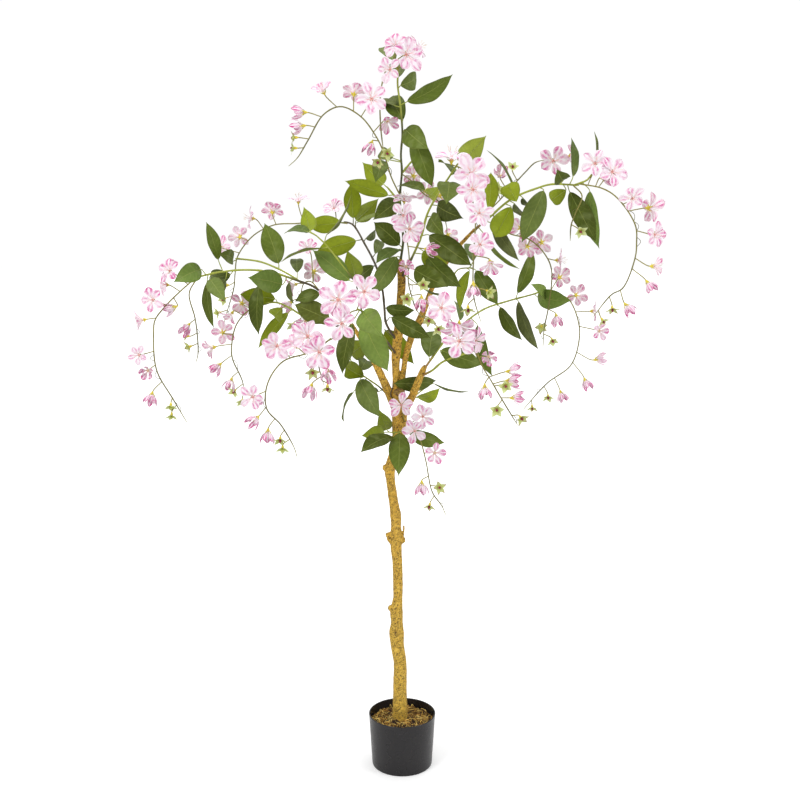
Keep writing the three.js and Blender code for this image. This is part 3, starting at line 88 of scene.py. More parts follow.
sprayLayout = {
    "leader": {
        "stems": [
            [[-0.6, 116.5, 0], [0.2, 122, -0.5], [-0.3, 127, 0], [-0.5, 131.5, 0.5], [-0.1, 136.5, 0],
             [-0.3, 140, 0], [0, 144.5, 0], [-0.4, 150, 0], [-1, 154.5, 0.5], [-0.9, 157.4, 0.4]],
            [[-0.2, 136, 0], [1.9, 138.5, 0.5], [3, 139.3, 0.5]],
            [[-0.4, 130, 0.4], [-2.4, 132.2, 0.4], [-3.4, 133.4, 0.4]]],
        "leaves": [
            [-0.9, 156, -0.6, 159.4, 1, 0, 3.2], [-1.6, 159.4, -4.3, 162.2, 1, 30, 3.4],
            [-0.4, 154.3, 2.9, 156.2, 1, 20, 3.8], [1, 151, 10.7, 156.6, 0, 35, 4.4],
            [-1.7, 150.2, -6.9, 150.6, 1, 80, 4], [0.1, 147.2, -2.1, 152.6, 1, 0, 4.4],
            [0.6, 145.3, 5.6, 141.2, -1, 0, 4.8], [2.3, 144, 6.5, 133.1, 0, 5, 4.5],
            [-2, 139.3, -4.6, 141, 1, 0, 2.8], [-4.6, 139, -5.8, 134.2, -1, 0, 3.4],
            [-3, 131.5, -12.4, 134.6, 0, 165, 3.4], [-4, 133.8, -8.4, 138.3, 1, 180, 4.2],
            [-0.9, 130.4, -6.3, 126.3, -1, 15, 4.2], [-0.9, 127.2, -10.3, 125.7, 0, 75, 4],
            [-0.6, 120.9, -6.2, 125.8, 0, 0, 4.2], [-0.6, 120, -5.8, 117, -1, 50, 3.6],
            [-1.2, 118.4, -7, 109.6, -1, 0, 4.2]],
        "tones": "green green green green arch green green green green green bright bright dark pale "
                 "dark mid sage"},
    "upper_left": {
        "stems": [
            [[-1.2, 99.8, 0], [-3.6, 104, -3], [-3.9, 107, -3], [-4.3, 111, -2], [-5.6, 116, 0],
             [-8.2, 121.2, 4], [-10.8, 125.3, 8], [-12.6, 125.9, 9]]],
        "leaves": [
            [-10.6, 126.6, -11, 134.2, 0, 170, 4], [-10, 126.1, -5.1, 130.8, 1, 175, 3.8],
            [-10, 121.8, -18.8, 119.3, 0, 180, 4.4], [-13.3, 125.7, -20.8, 125.2, 0, 175, 4],
            [-7.9, 122.3, -5.8, 124.7, 1, 60, 2.6], [-5.9, 119, -4.7, 121.9, 1, 0, 2.4],
            [-6.2, 116.4, -10.4, 113, 1, 10, 3.4], [-3.6, 107.2, 2.8, 106.7, 0, 30, 3.4],
            [-2.4, 105.2, 6.2, 100.6, 0, 15, 3.9], [-3.8, 102.3, 2.6, 94.8, 1, 180, 4.2, 5]],
        "tones": "olive olive bright bright dark dark dark dark dark olive"},
    "left_fork": {"radius": 2.5, "end": 1.8,
        "stems": [
            [[-7.6, 98.2, -0.3], [-8.3, 103, -4], [-9.3, 108.5, -8], [-10.2, 112.4, -10],
             [-14.2, 118, -13]],
            [[-13.6, 117, -12.6], [-16.6, 121, -13.6], [-19.2, 123.4, -14]]],
        "leaves": [
            [-19.9, 123.8, -21.2, 129, 1, 165, 3.6], [-20.2, 123.6, -25.6, 123.2, 1, 60, 2.6],
            [-16.4, 123, -11, 131.5, 0, 85, 3.6], [-17.3, 120.2, -26.6, 117.3, 0, 85, 3.6],
            [-11.5, 113.2, -19.5, 119.8, 0, 10, 4.3], [-10.3, 113.6, -12, 119.7, 1, 180, 3.9]],
        "tones": "bright mid grey arch light olive"},
    "left_arm": {
        "stems": [
            [[-16.6, 110, 2], [-20, 112.2, 2], [-22.3, 113, 2], [-28.5, 115, 1], [-34, 115.5, 0],
             [-40, 115, 0], [-46, 113.6, -1]],
            [[-22.3, 113, 2], [-25, 114.7, 3], [-28, 116.2, 4], [-31, 117.3, 5], [-36.3, 118, 7]]],
        "leaves": [
            [-26.9, 116.9, -29.8, 125.6, 0, 0, 4.9], [-22.9, 114.9, -22.9, 118.1, 1, 0, 3],
            [-24.7, 112.8, -23.8, 108, 0, 60, 2.8], [-26.2, 112.3, -33.8, 113.9, -1, 0, 5],
            [-31.2, 112.3, -31.7, 101.2, 0, 35, 4], [-36.8, 117.4, -39.9, 118.9, -1, 20, 3.2],
            [-40, 117.7, -42.3, 125.9, 0, 30, 3.2], [-37.4, 114.6, -42, 113.2, 1, 0, 3.8],
            [-38.5, 113.6, -40.5, 111.2, 1, 0, 3], [-42, 113.6, -38.6, 108.6, -1, 0, 3.6],
            [-42.6, 112.8, -41.5, 102.7, 0, 45, 3], [-43.8, 115.6, -49.8, 112.9, -1, 0, 4.2],
            [-18, 110.4, -23.6, 108.7, 0, 35, 3.6]],
        "tones": "green dark grey light dark olive green dark dark sage dark light dark"},
    "left_low": {
        "stems": [
            [[-10.3, 102.2, 0.2], [-14, 103.2, 0.5], [-20, 104.5, 2], [-25, 107.4, 3], [-27.5, 108.4, 3.5],
             [-31, 108.2, 4]]],
        "leaves": [
            [-27.8, 109.2, -35.6, 110.2, 0, 180, 3.9], [-26.3, 107.2, -28.3, 105.3, -1, 180, 3.4],
            [-25, 106.2, -31.9, 98.3, 0, 150, 3.2], [-16, 104.6, -23.7, 108, 0, 10, 5]],
        "tones": "olive bright bright darkOlive"},
    "front_left": {
        "stems": [[[-1.2, 97, 0], [-3.5, 100, -7], [-6, 103.5, -13], [-8.5, 106.3, -18], [-10, 107, -22]]],
        "leaves": [
            [-8.8, 106.4, -4.4, 100.9, -1, 0, 5], [-8.6, 104.4, -3.1, 93.1, 0, 0, 5.4],
            [-11, 103.7, -13.4, 92.5, 0, 25, 3.8]],
        "tones": "fresh fresh dark"},
    "lower_left": {"radius": 2.4, "end": 1.8,
        "stems": [
            [[-2.3, 86.6, 0], [-5, 89.6, 1], [-7.2, 91.2, 2], [-9, 92.5, 2.5], [-10.6, 93.9, 3],
             [-11.7, 96.6, 3.5]]],
        "leaves": [
            [-9.4, 91.4, -5, 82.8, -1, 10, 4.8], [-9.2, 93.4, -7.7, 95.7, 1, 0, 3.6],
            [-8.6, 92, -12.4, 94.6, -1, 180, 4], [-11.4, 97, -7.4, 100, 1, 180, 4.8],
            [-5.3, 88.6, -7.4, 87.9, 1, 60, 2.2], [-10.9, 88.4, -13.3, 81.7, 1, 85, 3]],
        "tones": "sage dark olive olive dark dark"},
    "trunk_shoot": {"radius": 2.4, "end": 1.8,
        "stems": [
            [[-0.9, 78.6, 0], [-0.6, 79.6, -2.8], [0.6, 79.8, -4]],
            [[-0.7, 79.4, -2.2], [-2.4, 79.4, -3], [-3.4, 79.5, -3]]],
        "leaves": [
            [-3.4, 79.9, -5, 84.3, 1, 180, 3.4], [-4, 79.4, -9.2, 78.6, 1, 180, 3.8],
            [-2.2, 78.5, -9.4, 74.8, -1, 40, 4.2], [-0.5, 79.2, -0.8, 69.5, -1, 0, 4.7],
            [1.5, 79.4, 9.6, 76.9, 0, 20, 3.6, 1.5]],
        "tones": "olive olive dark green green"},
    "fork_leaf": {"radius": 1.8, "end": 1.5,
        "stems": [[[-1.6, 86.6, 0], [-2.6, 87.8, -1.9], [-2.3, 89.2, -1.8], [-1.8, 90.2, -1.6]]],
        "leaves": [[-1.7, 90.5, 7.8, 91, 1, 25, 3.8]],
        "tones": "dark"},
    "fork_right": {"radius": 2.2, "end": 1.8,
        "stems": [[[1.9, 87, 0], [3.5, 88.2, 3], [6, 90.2, 5]]],
        "leaves": [[3.4, 87.2, 8.3, 89.3, 1, 150, 3], [7, 90.4, 15, 88.7, 0, 85, 3]],
        "tones": "bright dark"},
    "front_right": {
        "stems": [
            [[4.6, 92, -0.4], [6.5, 93.3, -4], [8.5, 95, -8], [10.5, 96, -12], [13.5, 97, -15],
             [16, 97.8, -17]]],
        "leaves": [[8.5, 97.9, 17.9, 94.6, 0, 15, 4.4]],
        "tones": "green"},
    "right_low": {
        "stems": [
            [[4.9, 93.2, -0.3], [6.8, 96.5, 4], [9.8, 100.5, 9], [13.7, 104, 12], [18, 107, 15],
             [23, 108.7, 17], [28.5, 110.2, 19], [30.2, 110.8, 20]]],
        "leaves": [
            [5.9, 96.4, 6.9, 102.2, 1, 0, 4.8], [16.5, 103.4, 19.9, 91.9, 0, 40, 4.2],
            [12.6, 104.5, 11.2, 109, 1, 60, 2.8], [25.2, 110.4, 28.4, 119.9, 0, 35, 3.8],
            [29.5, 109.7, 36.9, 108.8, -1, 0, 4.6], [31.8, 109.2, 28.1, 112.5, -1, 40, 2.8],
            [21.4, 107.4, 26.4, 100, 0, 40, 4], [25.4, 108.7, 30, 97.9, 0, 45, 4]],
        "tones": "green green mid green light fresh dark grey"},
    "front_top": {
        "stems": [
            [[0, 113.5, 0], [1, 116, -2.5], [2.5, 119, -4.5], [4.2, 123, -6.5], [5.4, 127.5, -8.5],
             [7.8, 132, -11], [10, 135.3, -14], [12, 138.3, -17]]],
        "leaves": [
            [2.6, 115.6, 10, 111.8, -1, 0, 4.6], [5.2, 118.6, 12.9, 111.7, 0, 20, 4.4],
            [4.5, 119.6, 11, 113.9, 1, 180, 4.2, -2], [5.8, 123, 15.2, 116.4, 0, 0, 4.8],
            [6.1, 127, 9, 123, -1, 20, 3.8], [7.5, 129.3, 13, 126.6, -1, 10, 4.2],
            [10, 134.3, 9.5, 129.9, -1, 0, 4.8], [5.8, 131.3, 8, 133.4, 1, 180, 3],
            [12.3, 138.3, 17.8, 143.9, 1, 180, 4.6], [10.8, 135.9, 7.6, 138.5, 1, 80, 3.4],
            [4.8, 132.4, -1.2, 133.3, 1, 60, 3.2], [3.4, 112.4, 10.5, 110.2, -1, 80, 2.4]],
        "tones": "dark green bright dark dark darkest green bright light dark dark dark"},
    "right_mid": {"radius": 2.2, "end": 1.7,
        "stems": [
            [[7.3, 113.2, 1], [9.5, 113.2, 3], [10.8, 113.9, 4], [12.2, 115.6, 4.5], [15.3, 116, 3.5]]],
        "leaves": [
            [14.6, 115.4, 12.6, 106.7, 0, 130, 3.6], [16, 115.4, 21, 107.8, 0, 10, 4],
            [15.4, 117.4, 14, 121.3, 1, 20, 3]],
        "tones": "bright green mid"},
    "right_arm": {
        "stems": [
            [[15.2, 123.8, 1], [18.8, 126.8, 0], [23.5, 130.7, 0], [29, 133, 0.5], [32, 133.8, 1],
             [38, 133.6, 1]],
            [[37, 133.7, 1], [39.8, 134.8, 0.5], [40.6, 136, 0.5]]],
        "leaves": [
            [23.5, 129, 20, 122.3, -1, 180, 4.8], [24.6, 130.2, 22.6, 134.2, -1, 180, 4.2],
            [24.1, 132.5, 18.2, 141.3, 0, 85, 3.4], [24.2, 129.7, 28, 126.7, 1, 70, 3],
            [26, 130.9, 29.3, 129, 1, 80, 3], [30.4, 132.5, 25.9, 121.4, -1, 0, 4.8],
            [34.6, 134.7, 33.2, 136.9, -1, 0, 3.6], [35.2, 132.6, 32, 130.4, -1, 180, 3.4],
            [36.6, 135.4, 36.1, 143.7, 1, 50, 2.8], [41, 136.8, 40.9, 145, 0, 80, 3, 3],
            [36, 132.2, 42.1, 121.5, -1, 0, 4.2], [40.3, 132.4, 42.6, 120, 0, 30, 3.8],
            [19.4, 125.4, 25.4, 117.4, -1, 30, 3.2], [17.4, 123.6, 25.5, 115.5, 0, 75, 3],
            [18.6, 128.4, 19, 136.4, -1, 150, 3.4]],
        "tones": "bright fresh arch dark dark sage dark olive mid dark dark light grey bright fresh"},
}

racemeLayout = {
    "top_left": {"host": "leader",
        "stems": [
            [[-0.5, 131.3, 0], [-2.4, 135.4, -1], [-4.1, 140.8, -2], [-5.9, 144.3, -2.5], [-8.9, 148, -3],
             [-13.1, 150, -3], [-16.7, 148.4, -3], [-20.2, 142.9, -3], [-22.5, 139.3, -3],
             [-24.4, 137.6, -3]]],
        "blooms": [
            [-10.3, 152.6, "open", 180, 50], [-6.5, 151.5, "open", 10, 10, -1.5, 1.25],
            [-16.7, 153, "half", -30, 50], [-20.9, 148.8, "bell", -90, 0], [-21.2, 146, "bell", -90, -10],
            [-22.8, 143.6, "bud", -90, 0], [-23, 141.4, "bud", -90, 0], [-3.2, 147, "half", 20, -35, 1.5],
            [-6.6, 142.4, "bell", -40, -60]]},
    "crown": {"host": "leader",
        "stems": [
            [[-0.9, 156.6, 0.3], [-1.2, 158.6, -0.6], [-2.6, 158.6, -1.5], [-3.9, 156.3, -1.5],
             [-4.7, 151.5, -1.5], [-4.7, 147.5, -3.5], [-4.5, 144.5, -5.5], [-4, 140.5, -5.5]]],
        "blooms": [
            [-1.3, 162.4, "open", -20, 15], [0.8, 160.6, "open", 30, 0, 0, 1.25],
            [3, 161.8, "open", 80, 30], [-2.6, 157.6, "open", -25, 0], [-3.2, 140.4, "bud", 0, -20],
            [-5.1, 138.6, "bud", -20, -30, -1.5]]},
    "front_right": {"host": "front_top",
        "stems": [
            [[12, 138.3, -17], [13.5, 136.5, -22], [15, 131, -27], [15.8, 126, -29], [15.6, 121, -30],
             [15.6, 110, -30], [17.3, 104, -30]]],
        "blooms": [
            [10.5, 139, "open", 0, 75, 0, 1.25], [14.9, 136, "open", 0, 5, 0, 1.4],
            [15.2, 132.7, "open", 0, 0, 0, 1.1], [16.6, 127.7, "open", 5, 0, 0, 0.95],
            [16.9, 121, "open", 0, 5, 0, 0.9], [19.1, 117.1, "half", 10, -50],
            [15.5, 112.2, "bell", 0, -80], [18.8, 110.8, "bud", 40, -20], [14.4, 107.2, "bud", 0, -60]]},
    "front_centre": {"host": "leader",
        "stems": [
            [[0, 129, 0], [0.3, 126, -6], [1, 122, -9], [1.5, 118, -10], [1.3, 113, -11], [2, 110, -12],
             [3, 107, -13], [4.5, 104.9, -14]]],
        "blooms": [
            [0.4, 130.4, "open", 0, 70, -3], [0.2, 127.2, "open", -10, 10, -2],
            [1.6, 124.3, "open", 10, 0, 0, 1.1], [5.3, 120, "bell", 50, -5], [0.8, 116.2, "bell", 0, 0],
            [4.4, 112.3, "bud", 20, 0], [0.9, 109.3, "bud", 10, -10], [4.2, 109.3, "bell", 0, -70],
            [5.8, 104.7, "bud", 0, -30], [7.8, 102.8, "bud", 20, -30]]},
    "front_left": {"host": "front_left",
        "stems": [
            [[-10, 107, -22], [-12, 105.5, -30], [-14.5, 101, -32], [-17, 99.5, -32], [-18.5, 95.5, -32],
             [-17.4, 90, -32]],
            [[-15.5, 100.3, -32], [-18.5, 98.3, -29], [-20.9, 97.2, -26], [-26.6, 95.2, -22],
             [-30, 90, -19], [-30.1, 84.6, -17], [-27.1, 81.1, -16], [-24.1, 75.6, -15],
             [-23.6, 73.5, -15]]],
        "blooms": [
            [-14, 109, "open", -5, 5, 0, 1.35], [-8.3, 110.8, "open", 5, 10, 0, 1.25],
            [-13.3, 103.8, "open", 0, 0, 0, 1.15], [-18.3, 97.5, "open", -5, -5, 0, 1.2],
            [-16.5, 93.2, "bell", 10, -30], [-20.2, 89.8, "bell", -20, -50], [-19.8, 93.2, "bud", 0, -30],
            [-16.6, 89.7, "bud", 0, -60], [-20.8, 101, "open", -20, 5, 0, 1.2],
            [-23.3, 98.8, "open", -40, 40], [-27.6, 98.8, "open", -10, 0, 0, 1.1],
            [-33.2, 87.4, "open", -10, 0], [-32.4, 82.7, "bell", -40, -30], [-30, 79.6, "bell", -10, -70],
            [-27.3, 77.9, "bud", 0, -50], [-26.8, 75.9, "bud", 0, -50]]},
    "left_inner": {"host": "left_low",
        "stems": [
            [[-31, 108.2, 4], [-33.9, 106.5, 5], [-36.5, 103.4, 6], [-37.6, 98.9, 7], [-37.5, 96, 8],
             [-35.6, 91.5, 9], [-34.9, 88.6, 10]]],
        "blooms": [
            [-35.1, 108.3, "open", 180, 0], [-37.4, 106, "half", -60, -50], [-39.4, 101.8, "open", 180, 10],
            [-41.6, 98.5, "half", -100, -20], [-40.4, 94.6, "bell", -60, -40],
            [-37.9, 91.2, "bell", -30, -60], [-37.2, 88.8, "bud", -30, -30], [-35.6, 86.6, "bud", 0, -40]]},
    "far_left": {"host": "left_arm",
        "stems": [
            [[-46, 113.6, -1], [-48.8, 110.6, -2], [-51.9, 107.6, -3], [-54.3, 104.5, -4],
             [-54.7, 101.8, -4], [-54.7, 95.5, -5], [-54, 92.4, -5], [-51.1, 87.2, -6], [-47.9, 81.4, -6]]],
        "blooms": [
            [-50.6, 115.3, "open", -30, 20], [-51.5, 112.3, "open", -60, 10], [-54.6, 109, "open", -10, 5],
            [-56.8, 104.6, "half", -80, -10], [-49.9, 107.4, "bell", -90, -20],
            [-58.1, 96.8, "open", -10, 5, 0, 0.8], [-56.3, 93.3, "bell", 0, -10],
            [-55.6, 88, "bell", -20, -60], [-51.5, 85.6, "bud", 0, -60], [-51.4, 83.4, "bud", 0, -60]]},
    "left_small": {"host": "left_arm",
        "stems": [
            [[-44.6, 114, -0.6], [-46.6, 110.1, 4], [-45.5, 105.1, 6], [-45.1, 101.3, 7], [-45.1, 96.9, 8],
             [-45.7, 94.9, 8]]],
        "blooms": [
            [-47, 103.4, "bell", -40, -40], [-47.3, 101, "bud", -90, 0], [-46.8, 98.7, "bud", -100, -20]]},
    "upper_left": {"host": "upper_left",
        "stems": [
            [[-12.6, 125.9, 9], [-17, 126, 14], [-22.7, 125.5, 19], [-28, 125.1, 23], [-32.5, 122.7, 25],
             [-35.8, 118.4, 24], [-36.4, 115, 22], [-36.8, 111.5, 20], [-38.7, 105.5, 18],
             [-39.2, 103.5, 18]]],
        "blooms": [
            [-14.7, 128.6, "open", -30, 50, 0.5], [-22.4, 130.2, "open", 0, 80],
            [-28, 127.9, "open", 180, 40], [-32.4, 126.6, "open", -80, 10],
            [-35.2, 122.6, "open", -150, 10], [-39.6, 120.6, "open", 150, 0],
            [-38.4, 112.2, "half", -90, 0], [-38.9, 109.2, "bud", -40, -20],
            [-40.2, 106.2, "bud", -60, -10]]},
    "far_right": {"host": "right_arm",
        "stems": [
            [[38, 133.6, 1], [43.1, 132.9, 0], [46.4, 130.8, -1], [50.4, 125.1, -2], [50.8, 121.4, -2],
             [50.6, 118.1, -3], [48.2, 111.6, -3], [45.7, 110.1, -4], [41.8, 105.2, -4]]],
        "blooms": [
            [45, 136.4, "open", 20, 10, 0, 1.2], [41.3, 138.2, "open", -20, 20, 0, 1.1],
            [43.1, 135.1, "bell", 70, -5], [49.6, 130.8, "open", -30, 20],
            [53.2, 128.8, "open", 115, 0, 0, 1.25], [54.6, 123.1, "open", 30, 0],
            [54.5, 116.3, "half", 100, 0], [53.5, 112.8, "bell", 60, -50], [49, 107.8, "bell", 60, -50],
            [46, 107.2, "bud", 0, -60], [43.9, 104.6, "bud", 45, -50]]},
    "right_low": {"host": "right_low",
        "stems": [
            [[30.2, 110.8, 20], [32.5, 111, 21], [34.5, 110.2, 22], [36.6, 108.9, 23], [38.5, 104.8, 24],
             [39, 100.8, 25], [37.3, 94.6, 26], [32.1, 90.5, 26], [26.7, 84.3, 26]]],
        "blooms": [
            [34.3, 113.9, "open", 150, 10], [38, 110, "open", 150, 0], [41.7, 106.5, "open", 85, 0],
            [43.3, 102.2, "half", 10, 0], [42.8, 95.8, "bell", 90, 10], [40.5, 91.2, "bell", 40, -60],
            [35.2, 88.4, "bell", 30, -60], [32.4, 87.6, "bud", 0, -50], [28.9, 85.2, "bud", 0, -60]]},
    "front_low": {"host": "front_right",
        "stems": [
            [[15.2, 97.6, -16.5], [16.4, 97.4, -19], [17.7, 94.3, -20], [19.5, 91.4, -20],
             [21.9, 87.3, -21], [25.9, 80.8, -22]],
            [[16.4, 97.4, -19], [14.5, 100.5, -21], [11, 104, -22]]],
        "blooms": [
            [8.6, 107.2, "open", 0, 5, 0, 1.1], [12.5, 103.3, "open", 0, -55, 0, 1.4],
            [12.6, 99.9, "open", 0, 0, 0, 1.25], [16, 100, "open", 60, 0], [19, 96.4, "bell", 0, 0],
            [18.3, 89.6, "bell", 0, -70], [23.6, 93.2, "bell", 80, 10], [23.4, 91, "bell", 80, 0],
            [24.6, 87.2, "bell", 80, 0], [22.9, 90, "bud", 0, -10], [21, 84.6, "bud", 0, -10],
            [26.4, 82.8, "bud", 30, -30]]},
    "right_inner": {"host": "right_arm",
        "stems": [
            [[19.4, 127.4, 0], [22.9, 123.5, 5], [27.5, 122.1, 8], [30.9, 119, 10], [32.5, 115.5, 11],
             [32, 107.3, 12], [31.2, 102.7, 12], [31, 98.3, 12]]],
        "blooms": [
            [25.6, 124.5, "open", 170, 10, 1.5], [27.2, 120.6, "open", 160, 0],
            [30.2, 121.5, "open", 170, 0], [33.8, 117.6, "open", 80, 0], [33.8, 105.4, "bell", 20, -60],
            [30.6, 103.2, "bud", 180, -30], [33, 100.2, "bud", 20, -40]]},
    "trunk": {"host": "wood",
        "stems": [
            [[-0.5, 82, 0], [1.5, 81.5, -3], [3.3, 79, -5], [4.2, 77.1, -6], [5.3, 72.9, -8],
             [6.8, 65.6, -9], [8.9, 62.5, -10], [10, 60, -10]]],
        "blooms": [
            [-0.2, 85.6, "open", -10, 20, -1], [4.6, 83, "open", 10, 10], [2.8, 79.7, "open", -10, 5],
            [7.3, 74.7, "half", 5, 0], [4.4, 67.6, "bell", 0, -70], [8.3, 66.8, "bud", 10, 0],
            [6.2, 62.6, "bud", -20, -50]]},
    "right_small": {"host": "right_arm",
        "stems": [
            [[36.6, 133.7, 1], [38.7, 131.2, -3], [37.3, 127.5, -3], [36.5, 125.1, -3], [36.4, 121.7, -3]]],
        "blooms": [[38.4, 124, "bud", 20, -30]]},
    "right_top": {"host": "right_arm",
        "stems": [
            [[16.8, 125.1, 0.6], [18.6, 128, 3], [21, 130.5, 5], [24, 133.8, 8], [26.5, 136.5, 10],
             [28.5, 138.4, 11], [31, 139, 11]]],
        "blooms": [
            [32.3, 138.7, "open", 0, 5, 0, 1.25], [36, 139.8, "open", 60, 10], [21, 135.6, "bell", 0, 30],
            [20.4, 132.8, "bud", 0, 10], [23.6, 137.2, "bud", 0, 40]]},
    "back_left": {"host": "left_arm",
        "stems": [[[-18, 111, 2], [-20, 113, 6], [-21.6, 112.4, 9], [-22.2, 109, 11], [-22.2, 104, 12]]],
        "blooms": [
            [-19.2, 115.2, "open", 180, 0], [-23.4, 112.3, "half", -80, -20],
            [-24.4, 108.4, "bell", -60, -40], [-21.2, 104.4, "half", 0, -30],
            [-20.2, 119.8, "half", -20, 40], [-24, 103.6, "bud", -20, -40]]},
    "back": {"host": "leader",
        "stems": [[[-0.2, 136, 0], [2, 134.5, 5], [5, 131.5, 9], [8, 130, 11], [9.8, 124, 13]]],
        "blooms": [
            [2.4, 135.6, "open", 180, 30, 2.5], [5.1, 132.4, "open", 150, 0], [8.2, 131.4, "open", 140, 10],
            [9.9, 123, "half", 160, -20]]},
}


def unit(vectors):
    # each vector divided by its own length
    return vectors / np.maximum(np.linalg.norm(vectors, axis=-1, keepdims=True), 1e-9)


def together(*values):
    # the values, broadcast to one shape, as the last axis of one array
    return np.stack(np.broadcast_arrays(*values), axis=-1)


def sight(place):
    # eye + (elevation point - eye) * (eye distance + depth) / eye distance
    across, up, depth = np.asarray(place, float)[..., :3].T * 10
    share = (depth - eye[1]) / -eye[1]
    return together(eye[0] + (across - eye[0]) * share, depth, eye[2] + (up - eye[2]) * share)


def seen(points):
    # the reverse of sight: where a point shows on the front elevation, in millimetres
    share = (points[..., 1] - eye[1]) / -eye[1]
    return together(*(eye[k] + (points[..., k] - eye[k]) / share for k in (0, 2)))


def smoothStep(value, low, high):
    # 3 t^2 - 2 t^3, with t the value's share of the way from low to high
    t = np.clip((value - low) / (high - low), 0, 1)
    return t * t * (3 - 2 * t)


def blended(first, second, share):
    # first * (1 - share) + second * share
    return np.array(first) * (1 - share) + np.array(second) * share


def tinted(tone, colour, *shares):
    # tone + (colour - tone) * every share
    change = np.array(colour) - tone
    for share in shares:
        change = change * share
    return tone + change


# lines: smooth curves through the places, and the points where one stem meets another

# samples of a curve, the step of a walk along it and of a finished stem in mm, and the places of a stalk
curveSamples, walkStep, fineStep, stalkPlaces = 201, 2, 7, 7


def curveThrough(places, share):
    # centripetal Catmull-Rom: a cubic from place to place, tangents weighed by the square roots of the chords
    ends = np.vstack([2 * places[0] - places[1], places, 2 * places[-1] - places[-2]])
    gaps = np.sqrt(np.linalg.norm(np.diff(ends, axis=0), axis=1))
    gaps = np.where(gaps < 1e-4, 1, gaps)
    at = np.clip(share, 0, 1) * (len(places) - 1)
    span = np.minimum(at.astype(int), len(places) - 2)
    t = (at - span)[:, None]
    p0, p1, p2, p3 = (ends[span + k] for k in range(4))
    d0, d1, d2 = (gaps[span + k][:, None] for k in range(3))
    leave = ((p1 - p0) / d0 - (p2 - p0) / (d0 + d1) + (p2 - p1) / d1) * d1
    arrive = ((p2 - p1) / d1 - (p3 - p1) / (d1 + d2) + (p3 - p2) / d2) * d1
    square = 3 * (p2 - p1) - 2 * leave - arrive
    cube = 2 * (p1 - p2) + leave + arrive
    return p1 + leave * t + square * t**2 + cube * t**3


def lengthsAlong(points):
    # the length of a line from its start to each of its points: the sum of its chords
    return np.concatenate([[0], np.cumsum(np.linalg.norm(np.diff(points, axis=0), axis=1))])


def stemLine(places, step):
    # points at equal lengths along the smooth curve through the places
    share = np.linspace(0, 1, curveSamples)
    length = lengthsAlong(curveThrough(places, share))
    count = max(2, int(length[-1] / step + 0.5))
    return curveThrough(places, np.interp(np.linspace(0, length[-1], count + 1), length, share))


def stepsIn(length):
    # a length in walking steps, to the nearest whole one
    return int(length / walkStep + 0.5)


def walk(line):
    # points a walking step apart from corner to corner of a line
    parts = []
    for start, stop in zip(line[:-1], line[1:]):
        steps = max(1, stepsIn(np.linalg.norm(stop - start)))
        parts.append(start + (stop - start) * (np.arange(steps) / steps)[:, None])
    return np.vstack([*parts, line[-1:]])


def bared(lines, sunk):
    # the walks along a plant's stems: the first starts a sunk length on, and the others after two steps
    return [walk(line)[2 if i else stepsIn(sunk):] for i, line in enumerate(lines)]


def nearestOn(lines, place, short=0):
    # the point of several lines that lies nearest to a place, clear of their last stretch
    points = np.vstack([walk(line)[: -stepsIn(short) if short else None] for line in lines])
    return points[np.argmin(np.linalg.norm(points - place, axis=1))]


def nearestSeen(lines, across, up, sunk):
    # the point of several lines that shows nearest to a place of the elevation
    points = np.vstack(bared(lines, sunk))
    return points[np.argmin(np.linalg.norm(seen(points) - [across * 10, up * 10], axis=1))]


def rootOn(lines, place, sunk, back):
    # where a stalk leaves its stem: a little way back from the point of the stem nearest to the stalk's end
    best, least = None, np.inf
    for points in bared(lines, sunk):
        away = np.linalg.norm(points - place, axis=1)
        if away.min() < least:
            least, best = away.min(), points[max(0, int(away.argmin()) - stepsIn(back))]
    return best


def stalkLine(root, end, way, pull):
    # a cubic that leaves the root straight for the end and arrives there along a direction
    t = np.linspace(0, 1, stalkPlaces)[:, None]
    span = np.linalg.norm(end - root)
    leave = unit(end - root) * span
    return (root * (2 * t**3 - 3 * t**2 + 1) + leave * (t**3 - 2 * t**2 + t)
            + end * (3 * t**2 - 2 * t**3) + way * span * (t**3 - t**2) * pull)


def routesOf(data, hosts, short, step):
    # the first stem is rooted on its host and the others on it; once coarse for places, once fine for looks
    coarse, fine = [], []
    for route in data["stems"]:
        places = sight(route)
        places[0] = nearestOn(coarse[:1] or hosts, places[0], 0 if coarse else short)
        coarse.append(stemLine(places, step))
        fine.append(stemLine(places, fineStep))
    return coarse, fine


# surfaces: every part is a dictionary of points and of blocks of faces


def turns(sides):
    # equal angles round a ring
    return 2 * math.pi * np.arange(sides) / sides


def quads(index):
    # the four corners of every cell of a grid of point numbers
    return np.stack([index[:-1, :-1], index[1:, :-1], index[1:, 1:], index[:-1, 1:]], axis=-1).reshape(-1, 4)


